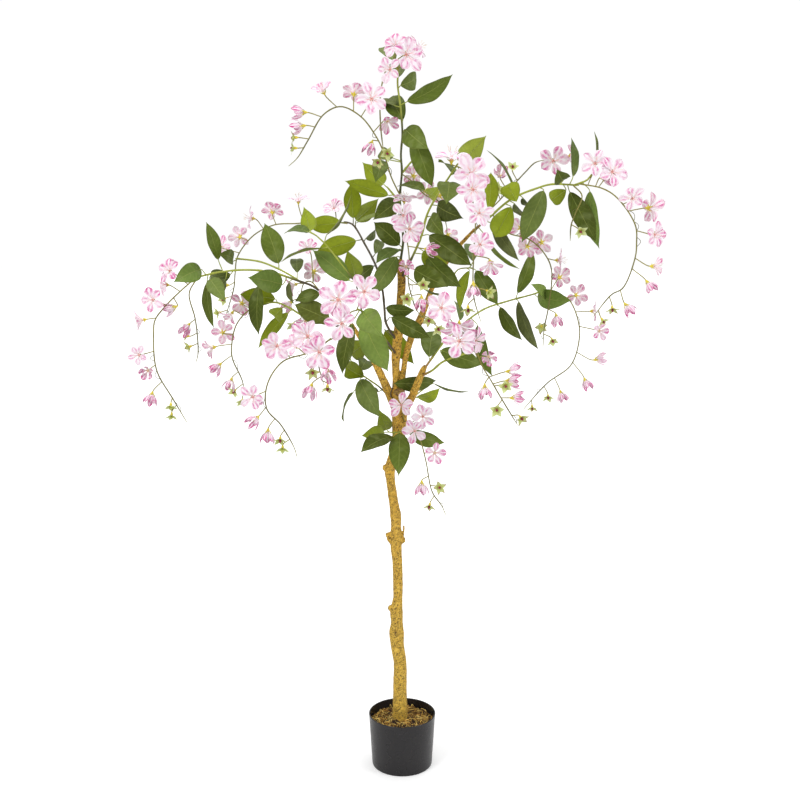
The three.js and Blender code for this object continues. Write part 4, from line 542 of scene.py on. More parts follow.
def sheet(grid, thick, uv, slot, toneUp, toneDown, flush=0.0, over=False):
    # a thin closed skin: the grid, and the same grid moved back along its normals; both share the rim.
    # over turns it round, for a grid whose rows and columns cross towards the underside
    count, rows, cols = grid.shape[:3]
    normal = unit(np.cross(np.gradient(grid, axis=1), np.gradient(grid, axis=2))) * (-1 if over else 1)
    lowerGrid = (grid - normal * thick)[:, 1:-1, 1:-1]
    upper = np.arange(rows * cols).reshape(rows, cols)
    lower = upper.copy()
    lower[1:-1, 1:-1] = rows * cols + np.arange((rows - 2) * (cols - 2)).reshape(rows - 2, cols - 2)
    each = rows * cols + (rows - 2) * (cols - 2)
    blocks = []
    for index, under, tone, flip in ((upper, 0.0, toneUp, over), (lower, 1.0, toneDown, not over)):
        faces = quads(index)
        faces = faces[:, ::-1] if flip else faces
        faces = (faces[None] + np.arange(count)[:, None, None] * each).reshape(-1, 4)
        blocks.append((faces, slot, np.asarray(tone, float), under))
    points = np.concatenate([grid.reshape(count, -1, 3), lowerGrid.reshape(count, -1, 3)], axis=1)
    uv = np.tile(np.concatenate([uv.reshape(-1, 2), uv[1:-1, 1:-1].reshape(-1, 2)]), (count, 1))
    return {"points": points.reshape(-1, 3), "uv": uv, "blocks": blocks, "flush": flush}


def closedRings(rings, slot, tone):
    # walls from ring to ring of every copy in rings[copy, place, round], and a flat face at both ends
    count, places, sides = rings.shape[:3]
    index = np.arange(places * sides).reshape(places, sides)
    ahead = np.roll(index, -1, axis=1)
    walls = np.stack([index[:-1], ahead[:-1], ahead[1:], index[1:]], axis=-1).reshape(-1, 4)
    ends = np.stack([index[0][::-1], index[-1]])
    tone = np.asarray(tone, float)
    if tone.ndim == 2:
        tone = np.tile(np.repeat(tone, sides, axis=0), (count, 1))
    shift = np.arange(count)[:, None, None] * places * sides
    blocks = [((faces + shift).reshape(-1, faces.shape[1]), slot, tone, 0.0) for faces in (walls, ends)]
    uv = together(turns(sides) / (2 * math.pi), np.linspace(0, 1, places)[:, None]).reshape(-1, 2)
    return {"points": rings.reshape(-1, 3), "uv": np.tile(uv, (count, 1)), "blocks": blocks, "flush": 0.0}


def tubes(lines, radii, sides, slot, tone):
    # a ring of points round each place: place + r (side cos a + other sin a)
    lines = np.asarray(lines, float)
    lines = lines[None] if lines.ndim == 2 else lines
    radii = np.broadcast_to(radii, lines.shape[:2])
    along = unit(np.gradient(lines, axis=1))
    flattest = np.abs(along).max(axis=1).argmin(axis=1)
    side = unit(np.cross(along, np.eye(3)[flattest][:, None]))
    other = np.cross(along, side)
    turn = turns(sides)
    rings = lines[:, :, None] + radii[:, :, None, None] * (
        side[:, :, None] * np.cos(turn)[:, None] + other[:, :, None] * np.sin(turn)[:, None])
    return closedRings(rings, slot, tone)


def shaded(part, tones):
    # the part with a colour of its own at each point
    part["blocks"] = [(faces, slot, tones, under) for faces, slot, _, under in part["blocks"]]
    return part


def paint(mesh, tones):
    # a colour at each corner of the mesh's faces, kept as its tone
    colours = np.concatenate([tones, np.ones((len(tones), 1))], axis=1)
    mesh.attributes.new("tone", "FLOAT_COLOR", "CORNER").data.foreach_set("color", colours.ravel())


def makePiece(name, parts, materials, nodes):
    # one mesh from all the parts, with its plan, tone, flush and underside kept as attributes
    points = np.vstack([part["points"] for part in parts]) * 0.001
    uv = np.vstack([part["uv"] for part in parts])
    flush = np.concatenate([np.broadcast_to(part["flush"], len(part["points"])) for part in parts])
    loops, sizes, slots, tones, under = [], [], [], [], []
    first = 0
    for part in parts:
        for faces, slotIndex, tone, side in part["blocks"]:
            loops.append((faces + first).ravel())
            sizes.append(np.full(len(faces), faces.shape[1]))
            slots.append(np.full(len(faces), slotIndex))
            tones.append(np.broadcast_to(tone, (faces.size, 3)) if tone.ndim == 1 else tone[faces.ravel()])
            under.append(np.full(faces.size, side))
        first += len(part["points"])
    loops, sizes, slots, tones, under = map(np.concatenate, (loops, sizes, slots, tones, under))
    mesh = bpy.data.meshes.new(name)
    mesh.vertices.add(len(points))
    mesh.vertices.foreach_set("co", points.ravel())
    mesh.loops.add(len(loops))
    mesh.loops.foreach_set("vertex_index", loops.astype(np.int32))
    mesh.polygons.add(len(sizes))
    mesh.polygons.foreach_set("loop_start", np.concatenate([[0], np.cumsum(sizes)[:-1]]).astype(np.int32))
    mesh.polygons.foreach_set("material_index", slots.astype(np.int32))
    mesh.update(calc_edges=True)
    mesh.uv_layers.new(name="plan").data.foreach_set("uv", uv[loops].ravel())
    paint(mesh, tones)
    mesh.attributes.new("underside", "FLOAT", "CORNER").data.foreach_set("value", under)
    mesh.attributes.new("flush", "FLOAT", "POINT").data.foreach_set("value", flush)
    mesh.polygons.foreach_set("use_smooth", np.ones(len(sizes), bool))
    mesh.validate()
    mesh.set_sharp_from_angle(angle=math.radians(110))
    for material in materials:
        mesh.materials.append(material)
    piece = bpy.data.objects.new(name, mesh)
    bpy.context.scene.collection.objects.link(piece)
    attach(piece, "root")
    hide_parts(*nodes)
    return piece


# large odd numbers that make a lattice corner's own number look random
latticeKeys, seedKey, mixKey = np.array([73856093, 19349663, 83492791]), 1000003, 1274126177


def grain(points, size, seed):
    # value noise from -1 to 1: a random number at each corner of a lattice, blended by smooth steps
    cell = points / size
    low = np.floor(cell).astype(np.int64)
    share = smoothStep(cell - low, 0, 1)
    total = np.zeros(len(points))
    for corner in np.ndindex(2, 2, 2):
        key = (low + corner) @ latticeKeys + seed * seedKey
        key = ((key ^ (key >> 13)) * mixKey) & 0x7FFFFFFF
        key = (key ^ (key >> 15)) & 0xFFFF
        total += np.where(corner, share, 1 - share).prod(axis=1) * key / 0xFFFF
    return total * 2 - 1


# shader helpers and the effects that several materials share


def feed(tree, socket, value):
    # a socket linked to another one, or set to a plain value
    if isinstance(value, bpy.types.NodeSocket):
        tree.links.new(value, socket)
    else:
        socket.default_value = value


def wire(tree, operation, *inputs):
    # one Math node: operation(inputs)
    node = tree.nodes.new("ShaderNodeMath")
    node.operation = operation
    for socket, value in zip(node.inputs, inputs):
        feed(tree, socket, value)
    return node.outputs[0]


def times(tree, product, *others):
    # the product of all the values
    for other in others:
        product = wire(tree, "MULTIPLY", product, other)
    return product


def window(tree, value, low, high, start=0.0, stop=1.0):
    # a smooth step from start to stop while the value goes from low to high
    node = tree.nodes.new("ShaderNodeMapRange")
    node.interpolation_type = "SMOOTHSTEP"
    tree.links.new(value, node.inputs["Value"])
    for name, number in (("From Min", low), ("From Max", high), ("To Min", start), ("To Max", stop)):
        node.inputs[name].default_value = number
    return node.outputs["Result"]


def mixed(tree, share, first, second, blend="MIX"):
    # first * (1 - share) + second * share, or first + second * share with ADD; the node's sockets 6 and 7,
    # and its output 2, are the ones for colours
    node = tree.nodes.new("ShaderNodeMix")
    node.data_type, node.blend_type = "RGBA", blend
    feed(tree, node.inputs[0], share)
    for socket, value in zip(node.inputs[6:8], (first, second)):
        feed(tree, socket, (*value, 1) if isinstance(value, tuple) else value)
    return node.outputs[2]


def noise(tree, where, scale, detail=3.0, roughness=0.55):
    # a Noise Texture at a place: lumps of 1 / scale metres, with finer ones added up to the detail
    node = tree.nodes.new("ShaderNodeTexNoise")
    for label, value in (("Vector", where), ("Scale", scale), ("Detail", detail), ("Roughness", roughness)):
        feed(tree, node.inputs[label], value)
    return node.outputs["Fac"]


def newEffect(name, inputs, outputs):
    # an empty node group with named sockets
    tree = bpy.data.node_groups.new(name, "ShaderNodeTree")
    for direction, sockets in (("INPUT", inputs), ("OUTPUT", outputs)):
        for label, kind, *value in sockets:
            socket = tree.interface.new_socket(name=label, in_out=direction, socket_type=kind)
            if value:
                socket.default_value = value[0]
    return tree, tree.nodes.new("NodeGroupInput").outputs, tree.nodes.new("NodeGroupOutput").inputs


def newMaterial(name, **fixed):
    # a Principled material whose constant numbers sit on the shader's own sockets
    material = bpy.data.materials.new(name)
    material.use_nodes = True
    tree = material.node_tree
    shader = tree.nodes["Principled BSDF"]
    for label, value in fixed.items():
        shader.inputs[label.replace("_", " ")].default_value = value
    return material, tree, shader


def objectPlace(tree):
    # a point's place in metres: pieces sit unturned at the origin
    return tree.nodes.new("ShaderNodeTexCoord").outputs["Object"]


def readAttribute(tree, name):
    # the sockets of a mesh attribute: Color for a colour, Fac for a number
    node = tree.nodes.new("ShaderNodeAttribute")
    node.attribute_name = name
    return node.outputs


def planAxes(tree):
    # the piece's own plan: across (0 to 1), along (0 to 1), and away from its midline: |2 across - 1|
    plan = tree.nodes.new("ShaderNodeUVMap")
    plan.uv_map = "plan"
    split = tree.nodes.new("ShaderNodeSeparateXYZ")
    tree.links.new(plan.outputs["UV"], split.inputs[0])
    across, along = split.outputs[:2]
    return across, along, wire(tree, "ABSOLUTE", wire(tree, "SUBTRACT", times(tree, across, 2.0), 1.0))


def embossed(tree, shader, height, strength, distance):
    # the normal tilted by the slope of a height, as far as the strength and the distance in metres let it
    bump = tree.nodes.new("ShaderNodeBump")
    bump.inputs["Strength"].default_value = strength
    bump.inputs["Distance"].default_value = distance
    tree.links.new(height, bump.inputs["Height"])
    tree.links.new(bump.outputs["Normal"], shader.inputs["Normal"])


def mottleEffect():
    # colour value * (1 - 4 amount (0.55 - noises)), noises = 0.6 coarse + 0.4 fine at the piece's own place
    tree, given, out = newEffect("mottle", [
        ("Color", "NodeSocketColor", (0.5, 0.5, 0.5, 1)), ("Where", "NodeSocketVector"),
        ("Coarse", "NodeSocketFloat", 40.0), ("Fine", "NodeSocketFloat", 300.0),
        ("Amount", "NodeSocketFloat", 0.25)], [("Color", "NodeSocketColor"), ("Height", "NodeSocketFloat")])
    coarse, fine = (noise(tree, given["Where"], given[label], 3, 0.5) for label in ("Coarse", "Fine"))
    both = wire(tree, "ADD", times(tree, coarse, 0.6), times(tree, fine, 0.4))
    dim = times(tree, wire(tree, "SUBTRACT", 0.55, both), times(tree, given["Amount"], 4.0))
    scaled = tree.nodes.new("ShaderNodeHueSaturation")
    tree.links.new(given["Color"], scaled.inputs["Color"])
    tree.links.new(wire(tree, "SUBTRACT", 1.0, dim), scaled.inputs["Value"])
    tree.links.new(scaled.outputs["Color"], out["Color"])
    tree.links.new(both, out["Height"])
    return tree


mottle = mottleEffect()


def mottled(tree, where, colour, coarse, fine, amount):
    # the mottle effect's group node over a colour, or over the piece's own tone where none is given
    node = tree.nodes.new("ShaderNodeGroup")
    node.node_tree = mottle
    colour = (*colour, 1) if colour else readAttribute(tree, "tone")["Color"]
    given = {"Color": colour, "Where": where, "Coarse": coarse, "Fine": fine, "Amount": amount}
    for label, value in given.items():
        feed(tree, node.inputs[label], value)
    return node.outputs


barkLook = {"flakeHighlight": (0.88, 0.61, 0.11), "speck": (0.085, 0.036, 0.008), "pit": (0.13, 0.06, 0.012),
            "lean": 0.8, "drawnOut": 2.3}


def barkMaterial():
    # the piece's tone with golden flakes, partly painted highlight, dark specks and pits where noises pass a
    # window
    material, tree, shader = newMaterial("barkOchre", Roughness=0.82)
    where = objectPlace(tree)
    # the grain leans to the right and is drawn out along its slant
    slant = tree.nodes.new("ShaderNodeMapping")
    slant.vector_type = "TEXTURE"
    slant.inputs["Rotation"].default_value = (0, barkLook["lean"], 0)
    slant.inputs["Scale"].default_value = (1, 1, barkLook["drawnOut"])
    tree.links.new(where, slant.inputs["Vector"])
    leaning = slant.outputs["Vector"]
    coat = mottled(tree, where, None, 90, 420, 0.40)
    # golden flakes along the leaning grain: partly the bark's own lighter grain, partly painted highlights on
    # its ridges
    flakesAndHighlights = window(tree, noise(tree, leaning, 330, 3, 0.5), 0.50, 0.62)
    golden = mixed(tree, times(tree, flakesAndHighlights, 0.46), coat["Color"], barkLook["flakeHighlight"])
    specks = window(tree, noise(tree, leaning, 470, 2.5, 0.6), 0.545, 0.62)
    pits = window(tree, noise(tree, where, 130, 4, 0.65), 0.60, 0.68)
    darker = mixed(tree, times(tree, specks, 0.84), golden, barkLook["speck"])
    worn = mixed(tree, times(tree, pits, 0.5), darker, barkLook["pit"])
    tree.links.new(worn, shader.inputs["Base Color"])
    ridges = wire(tree, "SUBTRACT", noise(tree, leaning, 210, 5, 0.65), times(tree, specks, 0.5))
    embossed(tree, shader, ridges, 1.0, 0.0026)
    return material


# hollow is the colour of painted shade between the side veins and towards the leaf's margin, and glow that of
# painted sheen patches
leafLook = {"hollow": (0.03, 0.04, 0.006), "glow": (0.34, 0.40, 0.16), "rib": (0.42, 0.46, 0.12),
            "ribBelow": (0.16, 0.085, 0.012), "rim": (0.24, 0.20, 0.03), "veins": 8.0, "slant": 1.7}


def leafMaterial():
    # midrib at across 0.5; side veins are waves of veins * along - slant * distance from the midrib
    material, tree, shader = newMaterial("leafGreen", Specular_IOR_Level=0.14)
    where = objectPlace(tree)
    across, along, away = planAxes(tree)
    under = readAttribute(tree, "underside")["Fac"]
    coat = mottled(tree, where, None, 24, 190, 0.22)
    drift = noise(tree, where, 42, 1, 0.5)
    slanted = times(tree, away, leafLook["slant"])
    phase = wire(tree, "ADD", wire(tree, "SUBTRACT", times(tree, along, leafLook["veins"]), slanted), drift)
    wave = wire(tree, "ABSOLUTE", wire(tree, "SUBTRACT", wire(tree, "FRACT", phase), 0.5))
    veins = times(tree, window(tree, wave, 0.06, 0.0), window(tree, away, 0.93, 0.7))
    rib = window(tree, away, 0.045, 0.012)
    marked = wire(tree, "MAXIMUM", times(tree, veins, 0.26), times(tree, rib, 0.72))
    # painted shade: darker between the side veins and towards the margin, in place of the shade of the leaf's
    # quilting and curl
    hollow = window(tree, wave, 0.14, 0.40, 0.0, 0.06)
    paintedShade = wire(tree, "ADD", hollow, times(tree, window(tree, away, 0.62, 0.96), 0.16))
    body = mixed(tree, paintedShade, coat["Color"], leafLook["hollow"])
    # painted sheen: lighter patches on the upper face, in place of the satin highlights of the silk
    glow = times(tree, window(tree, drift, 0.50, 0.72, 0.0, 0.20), wire(tree, "SUBTRACT", 1.0, under))
    body = mixed(tree, glow, body, leafLook["glow"])
    pale = mixed(tree, 0.55, coat["Color"], leafLook["rib"])
    brown = mixed(tree, 0.7, coat["Color"], leafLook["ribBelow"])
    ribColour = mixed(tree, under, pale, brown)
    rim = mixed(tree, window(tree, away, 0.955, 0.99, 0.0, 0.45), body, leafLook["rim"])
    tree.links.new(mixed(tree, marked, rim, ribColour), shader.inputs["Base Color"])
    sheen = window(tree, noise(tree, where, 60, 2), 0.3, 0.7, 0.48, 0.62)
    tree.links.new(sheen, shader.inputs["Roughness"])
    height = wire(tree, "ADD", times(tree, marked, -0.6), times(tree, coat["Height"], 0.3))
    embossed(tree, shader, height, 0.6, 0.0016)
    return material


petalLook = {"white": (0.88, 0.81, 0.855), "rosyWhite": (0.89, 0.76, 0.84), "pink": (0.69, 0.175, 0.42),
             "magenta": (0.60, 0.032, 0.25), "throat": (0.86, 0.34, 0.32), "palerThroat": (0.88, 0.76, 0.48),
             "shine": (0.09, 0.045, 0.065)}


def petalMaterial():
    # white silk: a pink band on each side of a white midline, magenta towards the tip, a salmon throat,
    # and light that comes through to the underside of an open bloom
    material, tree, shader = newMaterial("petalSilk", Roughness=0.6, Specular_IOR_Level=0.3)
    where = objectPlace(tree)
    across, along, away = planAxes(tree)
    flush = readAttribute(tree, "flush")["Fac"]
    under = readAttribute(tree, "underside")["Fac"]
    strand = noise(tree, where, 240, 2, 0.5)
    waver = times(tree, wire(tree, "SUBTRACT", noise(tree, where, 85, 2, 0.6), 0.5), 0.9)
    strayed = wire(tree, "ADD", away, waver)
    lanes = times(tree, window(tree, strayed, 0.12, 0.32), window(tree, strayed, 0.80, 0.50))
    reach = times(tree, window(tree, along, 0.22, 0.52), window(tree, along, 1.0, 0.93))
    uneven = window(tree, noise(tree, where, 55, 1, 0.5), 0.38, 0.60, 0.30, 1.0)
    broken = times(tree, lanes, reach, uneven, window(tree, strand, 0.36, 0.58, 0.6, 1.0))
    amount = times(tree, broken, wire(tree, "ADD", times(tree, flush, 0.25), 0.86))
    white = mixed(tree, flush, petalLook["white"], petalLook["rosyWhite"])
    pink = mixed(tree, amount, white, petalLook["pink"])
    ends = times(tree, window(tree, along, 0.50, 0.86), window(tree, strayed, 0.10, 0.42))
    deep = times(tree, ends, uneven, window(tree, flush, -0.15, 0.62))
    streak = times(tree, deep, window(tree, strand, 0.34, 0.60, 0.35, 1.0))
    magenta = mixed(tree, streak, pink, petalLook["magenta"])
    throat = times(tree, window(tree, along, 0.55, 0.12), window(tree, away, 0.34, 0.05))
    blush = mixed(tree, window(tree, flush, 0.3, 0.7), petalLook["throat"], petalLook["palerThroat"])
    upper = mixed(tree, times(tree, throat, 0.75), magenta, blush)
    lower = mixed(tree, window(tree, flush, 0.8, 0.4, 0.1, 1.0), upper, petalLook["shine"], "ADD")
    tree.links.new(mixed(tree, under, upper, lower), shader.inputs["Base Color"])
    weave = times(tree, wire(tree, "SINE", times(tree, across, 60.0)), 0.25)
    embossed(tree, shader, wire(tree, "ADD", weave, strand), 0.3, 0.0005)
    return material


def potMaterial():
    # black plastic with a fine pale dust, its gloss uneven
    material, tree, shader = newMaterial("potBlack", Specular_IOR_Level=0.36)
    where = objectPlace(tree)
    coat = mottled(tree, where, (0.0150, 0.0135, 0.0145), 14, 220, 0.10)
    dust = window(tree, noise(tree, where, 900, 2, 0.7), 0.73, 0.78)
    dusty = mixed(tree, times(tree, dust, 0.12), coat["Color"], (0.35, 0.34, 0.33))
    tree.links.new(dusty, shader.inputs["Base Color"])
    tree.links.new(window(tree, noise(tree, where, 30, 4), 0.3, 0.7, 0.22, 0.32), shader.inputs["Roughness"])
    embossed(tree, shader, coat["Height"], 0.12, 0.0004)
    return material


def plainMaterial(name, roughness, colour, spots, relief):
    # one mottled colour, or the piece's own tone, raised by its own mottle
    material, tree, shader = newMaterial(name, Roughness=roughness)
    coat = mottled(tree, objectPlace(tree), colour, *spots)
    tree.links.new(coat["Color"], shader.inputs["Base Color"])
    embossed(tree, shader, coat["Height"], *relief)
    return material


bark, leafGreen, petalSilk, potBlack = barkMaterial(), leafMaterial(), petalMaterial(), potMaterial()
stalkGreen = plainMaterial("stalkGreen", 0.5, None, (90, 500, 0.22), (0.4, 0.0006))
cementGrey = plainMaterial("cementGrey", 0.95, (0.27, 0.255, 0.23), (60, 600, 0.3), (0.6, 0.002))
coirBrown = plainMaterial("coirBrown", 0.88, None, (120, 700, 0.4), (0.5, 0.0008))
print("materials made")


# trunk and branches

wood = {"ring": 20, "step": 4, "skin": 0.35, "voxel": 0.0017, "bump": 0.68,
        "ochre": (0.65, 0.375, 0.044), "gold": (0.66, 0.41, 0.05), "umber": (0.36, 0.165, 0.018),
        "cut": (0.09, 0.042, 0.012), "sawn": (0.26, 0.145, 0.04),
        "capDepth": (-2.2, -0.9), "capRim": (13.6, 12.2), "growth": 1.9}
# dark places of the wood: [across, up, depth], reach in mm, and how dark
scars = [([-1.3, 32.3, -1.6], 11, 0.7), ([0.6, 113, -0.8], 7, 0.9), ([5.3, 94.5, -1.7], 7, 0.8),
         ([-3.3, 38.5, 0], 5, 0.4), ([-4.4, 71.5, 0], 5, 0.5),
         ([0.8, 54.6, -0.2], 6, 0.45), ([-3.7, 55.1, 0], 5, 0.4)]


def woodTubes():
    # every wooden member as a tube along its smooth line, its radius carried along
    parts = []
    for rows in woodRoutes.values():
        rows = np.array(rows, float)
        places = sight(rows)
        length = lengthsAlong(places)
        count = max(3, int(length[-1] / wood["step"]) + 1)
        even = np.linspace(0, 1, len(rows))
        share = np.interp(np.linspace(0, length[-1], count), length, even)
        radii = np.interp(share, even, rows[:, 3]) + wood["skin"]
        parts.append(tubes(curveThrough(places, share), radii, wood["ring"], 0, wood["ochre"]))
    return parts


def fusedMesh(piece):
    # the piece's tubes made one skin by a fine voxel remesh and eased a little
    remesh = piece.modifiers.new("fuse", "REMESH")
    remesh.mode, remesh.voxel_size = "VOXEL", wood["voxel"]
    remesh.use_smooth_shade = True
    smooth = piece.modifiers.new("ease", "SMOOTH")
    smooth.factor, smooth.iterations = 0.5, 5
    bpy.context.view_layer.update()
    fused = bpy.data.meshes.new_from_object(piece.evaluated_get(bpy.context.evaluated_depsgraph_get()))
    piece.modifiers.clear()
    old, piece.data = piece.data, fused
    bpy.data.meshes.remove(old)
    fused.name = piece.name
    return fused


def perVertex(mesh, name):
    # a vector of every vertex: its place co, or its normal
    values = np.empty(len(mesh.vertices) * 3)
    mesh.vertices.foreach_get(name, values)
    return values.reshape(-1, 3)


def makeWood():
    # every point of the fused skin moves out by noises, and by lumps less cracks round the scars
    piece = makePiece("woodTrunk", woodTubes(), [bark], ["trunk"])
    fused = fusedMesh(piece)
    points = perVertex(fused, "co") * 1000
    normal = perVertex(fused, "normal")
    stretched = points * [1, 1, 0.45]
    bumps = grain(stretched, 4.5, 1) * 0.6 + grain(points, 2.4, 2) * 0.4 + grain(stretched, 14, 3) * 0.9
    push = bumps * wood["bump"]
    height = points[:, 2:3]
    tone = tinted(np.array(wood["ochre"]) + 0 * points, wood["gold"], smoothStep(height, 700, 200))
    tone = tinted(tone, wood["umber"], 0.45, smoothStep(height, 800, 1250))
    shade = (grain(points * [1, 1, 0.5], 16, 5) * 0.5 + grain(points, 5, 6) * 0.5)[:, None]
    tone *= 1 + 0.13 * shade
    cracks = smoothStep(np.abs(grain(points, 5, 8)), 0.42, 0.08)
    for spot, reach, dark in scars:
        away = np.linalg.norm(points - sight(spot), axis=1)
        ring = smoothStep(away, reach * 1.2, reach * 0.6)
        push += ring * (0.9 * grain(points, 4, 7) - 0.7 * cracks)
        tone = tinted(tone, wood["cut"], (ring * dark * (0.25 + 0.75 * cracks))[:, None])
    # sawn end: growth rings on the flat cap, a worn rim round it
    low, high = sight(woodRoutes["sawn_end"])
    axis = unit(high - low)
    along = (points - high) @ axis
    fromAxis = np.linalg.norm(points - high - along[:, None] * axis, axis=1)
    cap = smoothStep(along, *wood["capDepth"]) * smoothStep(fromAxis, *wood["capRim"])
    rings = 0.5 + 0.5 * np.cos(fromAxis * wood["growth"] + 1.5 * grain(points, 9, 9))
    face = tinted(np.array(wood["cut"]), wood["sawn"], (0.35 + 0.65 * rings)[:, None])
    tone = tinted(tone, face, cap[:, None])
    fused.vertices.foreach_set("co", ((points + normal * push[:, None]) * 0.001).ravel())
    loopAt = np.empty(len(fused.loops), np.int32)
    fused.loops.foreach_get("vertex_index", loopAt)
    for old in [layer for layer in fused.attributes if layer.name == "tone"]:
        fused.attributes.remove(old)
    paint(fused, np.clip(tone, 0.01, 1)[loopAt])
    fused.polygons.foreach_set("use_smooth", np.ones(len(fused.polygons), bool))
    fused.materials.clear()
    fused.materials.append(bark)
    fused.update()
    return piece


trunkPiece = makeWood()
print("wood made:", len(trunkPiece.data.polygons), "faces")


# leafy sprays

leafForm = {"length": 114, "fold": 0.16, "arch": 0.07, "rows": 25, "cols": 11, "thick": 0.6, "stalk": 1.3,
            "back": 6, "twist": 0.16, "sway": 1.6, "ripple": 0.055, "droop": 1.2, "crease": 0.55}
# tone word: colour of the upper face, colour of the underside; partly the leaf's own green and partly painted
# light and shade: the brighter words stand in for backlit undersides and well-lit leaves, the darker ones for
# leaves in shade
leafTones = {
    "fresh": ((0.250, 0.360, 0.072), (0.34, 0.42, 0.02)),
    "bright": ((0.150, 0.210, 0.015), (0.26, 0.325, 0.014)),
    "pale": ((0.200, 0.250, 0.050), (0.25, 0.30, 0.05)),
    "light": ((0.160, 0.240, 0.045), (0.25, 0.30, 0.03)),
    "sage": ((0.160, 0.215, 0.047), (0.22, 0.27, 0.04)),
    "grey": ((0.125, 0.145, 0.045), (0.19, 0.21, 0.05)),
    "green": ((0.122, 0.170, 0.022), (0.19, 0.245, 0.016)),
    "mid": ((0.106, 0.158, 0.030), (0.21, 0.26, 0.018)),
    "olive": ((0.110, 0.150, 0.010), (0.19, 0.24, 0.006)),
    "arch": ((0.110, 0.140, 0.020), (0.17, 0.21, 0.02)),
    "darkOlive": ((0.105, 0.125, 0.018), (0.13, 0.15, 0.012)),
    "dark": ((0.084, 0.114, 0.012), (0.14, 0.18, 0.014)),
    "darkest": ((0.056, 0.074, 0.009), (0.11, 0.14, 0.012)),
}
stemTones = {"bark": (0.28, 0.15, 0.030), "twig": (0.075, 0.055, 0.022), "olive": (0.075, 0.085, 0.014),
             "leafy": (0.36, 0.40, 0.045), "young": (0.42, 0.46, 0.06), "raceme": (0.30, 0.265, 0.040),
             "tail": (0.120, 0.116, 0.026), "thread": (0.34, 0.32, 0.12)}
# how far each spray's first stem stays wooden, as a share of its length, and the colour of that part
woodyShare = {"upper_left": (1.0, "twig"), "left_arm": (0.25, "twig"), "left_fork": (0.8, "twig"),
              "fork_leaf": (1.0, "twig"), "lower_left": (0.3, "olive"), "leader": (0.72, "olive"),
              "front_left": (0.3, "twig"), "left_low": (0.3, "twig"), "front_top": (0.2, "twig")}
# a spray's stems: the CAD's step and hidden root in mm, radii where its rows name none, the shares of radius,
# end and side stem's radius that the finished stem keeps, sides, and the swelling at its joints
sprayStem = {"step": 40, "sunk": 16, "radius": 3.1, "end": 2.7, "slim": 0.86, "endSlim": 0.72, "side": 0.8,
             "sides": 8, "joints": 0.18}


def leafOutline(along):
    # half width: a sine swelling over along^0.9, raised to a power that sharpens the tip
    return np.maximum(np.sin(math.pi * along**0.9), 0) ** (0.72 + 0.55 * along**4) * (1 - along**30) + 0.006


def tipOf(base, across, up, side):
    # the point of the line of sight that lies a leaf's length from its base, near or far
    look = unit(sight([across, up, 0]) - eye)
    reach = base - eye
    nearest = look @ reach
    spare = nearest**2 - reach @ reach + leafForm["length"] ** 2
    return eye + look * (nearest + side * math.sqrt(max(0, spare)))


def about(vector, axis, angle):
    # vector turned about an axis: v cos a + (axis x v) sin a + axis (axis.v)(1 - cos a)
    cos, sin = math.cos(angle), math.sin(angle)
    return vector * cos + np.cross(axis, vector) * sin + axis * (axis @ vector) * (1 - cos)


def leafParts(lines, fineLines, row, tone, stalkTone):
    # blade point: base + axis L s + normal (arch and fold) + across (half w(s) v), s along and v across
    baseX, baseZ, tipX, tipZ, side, roll, width, slide = row if len(row) == 8 else [*row, 0]
    near = nearestSeen(lines, baseX, baseZ, sprayStem["sunk"])
    base = sight([baseX, baseZ, near[1] / 10 + slide])
    root = nearestOn(fineLines, rootOn(lines, base, sprayStem["sunk"], leafForm["back"]))
    tip = tipOf(base, tipX, tipZ, side)
    length = np.linalg.norm(tip - base)
    axis = (tip - base) / length
    normal = eye - base
    normal = unit(normal - axis * (normal @ axis))
    normal = about(normal, axis, math.radians(roll))
    across = np.cross(axis, normal)
    half = width * 5
    rows, cols = leafForm["rows"], leafForm["cols"]
    s = np.linspace(0, 1, rows)[:, None]
    v = np.linspace(-1, 1, cols)[None]
    v = np.sign(v) * np.abs(v) ** 0.85
    swell = leafOutline(s)
    twist = draw.normal(0, leafForm["twist"]) * (s - 0.35)
    sway = draw.normal(0, leafForm["sway"]) * np.sin(math.pi * s)
    wave = np.sin(2 * math.pi * (2.2 * s + draw.random()) + np.sign(v) * 1.3)
    wave = wave * np.abs(v) ** 2.5 * half * leafForm["ripple"]
    dip = draw.normal(0, leafForm["droop"]) * s**3 - 1.5 * s**4
    crease = -leafForm["crease"] * np.exp(-((v * half * swell / 1.3) ** 2)) * (1 - s**6)
    lift = (length * leafForm["arch"] * 4 * s * (1 - s) + half * swell * leafForm["fold"] * np.abs(v) ** 1.35
            + wave * swell + dip + crease)
    turned = np.cos(twist)[..., None] * across + np.sin(twist)[..., None] * normal
    grid = (base + axis * (length * s)[..., None] + turned * (half * swell * v)[..., None]
            + across * (sway + 0 * v)[..., None] + normal * lift[..., None])
    lively = 1 + draw.normal(0, 0.06)
    up, down = np.array(leafTones[tone])
    uv = together((v + 1) / 2, s)
    blade = sheet(grid[None], leafForm["thick"], uv, 0, up * lively, down * lively, over=True)
    # the stalk runs on under the blade as its midrib
    stalk = stalkLine(root, base, axis, 0.8)
    middle = grid[2:rows:3, cols // 2] - normal * 0.45
    line = np.vstack([stalk, middle])
    thin = [*np.linspace(leafForm["stalk"], 1.0, stalkPlaces), *np.linspace(0.85, 0.22, len(middle))]
    fade = np.clip(np.arange(len(line)) / 8, 0, 1)[:, None]
    tones = blended(stemTones[stalkTone], down * 1.15 + 0.02, fade)
    return [blade, tubes(line, thin, 5, 1, tones)]


def stemParts(line, start, stop, sides, tones, swellings, fade=0.0):
    # radius falls evenly from root to end, swells a little at each joint, and loses the share fade past 0.85
    count = len(line)
    radii = np.linspace(start, stop, count) * (1 - fade * smoothStep(np.linspace(0, 1, count), 0.85, 1.0))
    radii = radii * (1 + swellings * np.maximum(0, np.sin(np.arange(count) * 0.9)) ** 6)
    radii[-1] *= 0.45
    return tubes(line, radii, sides, 1, tones)


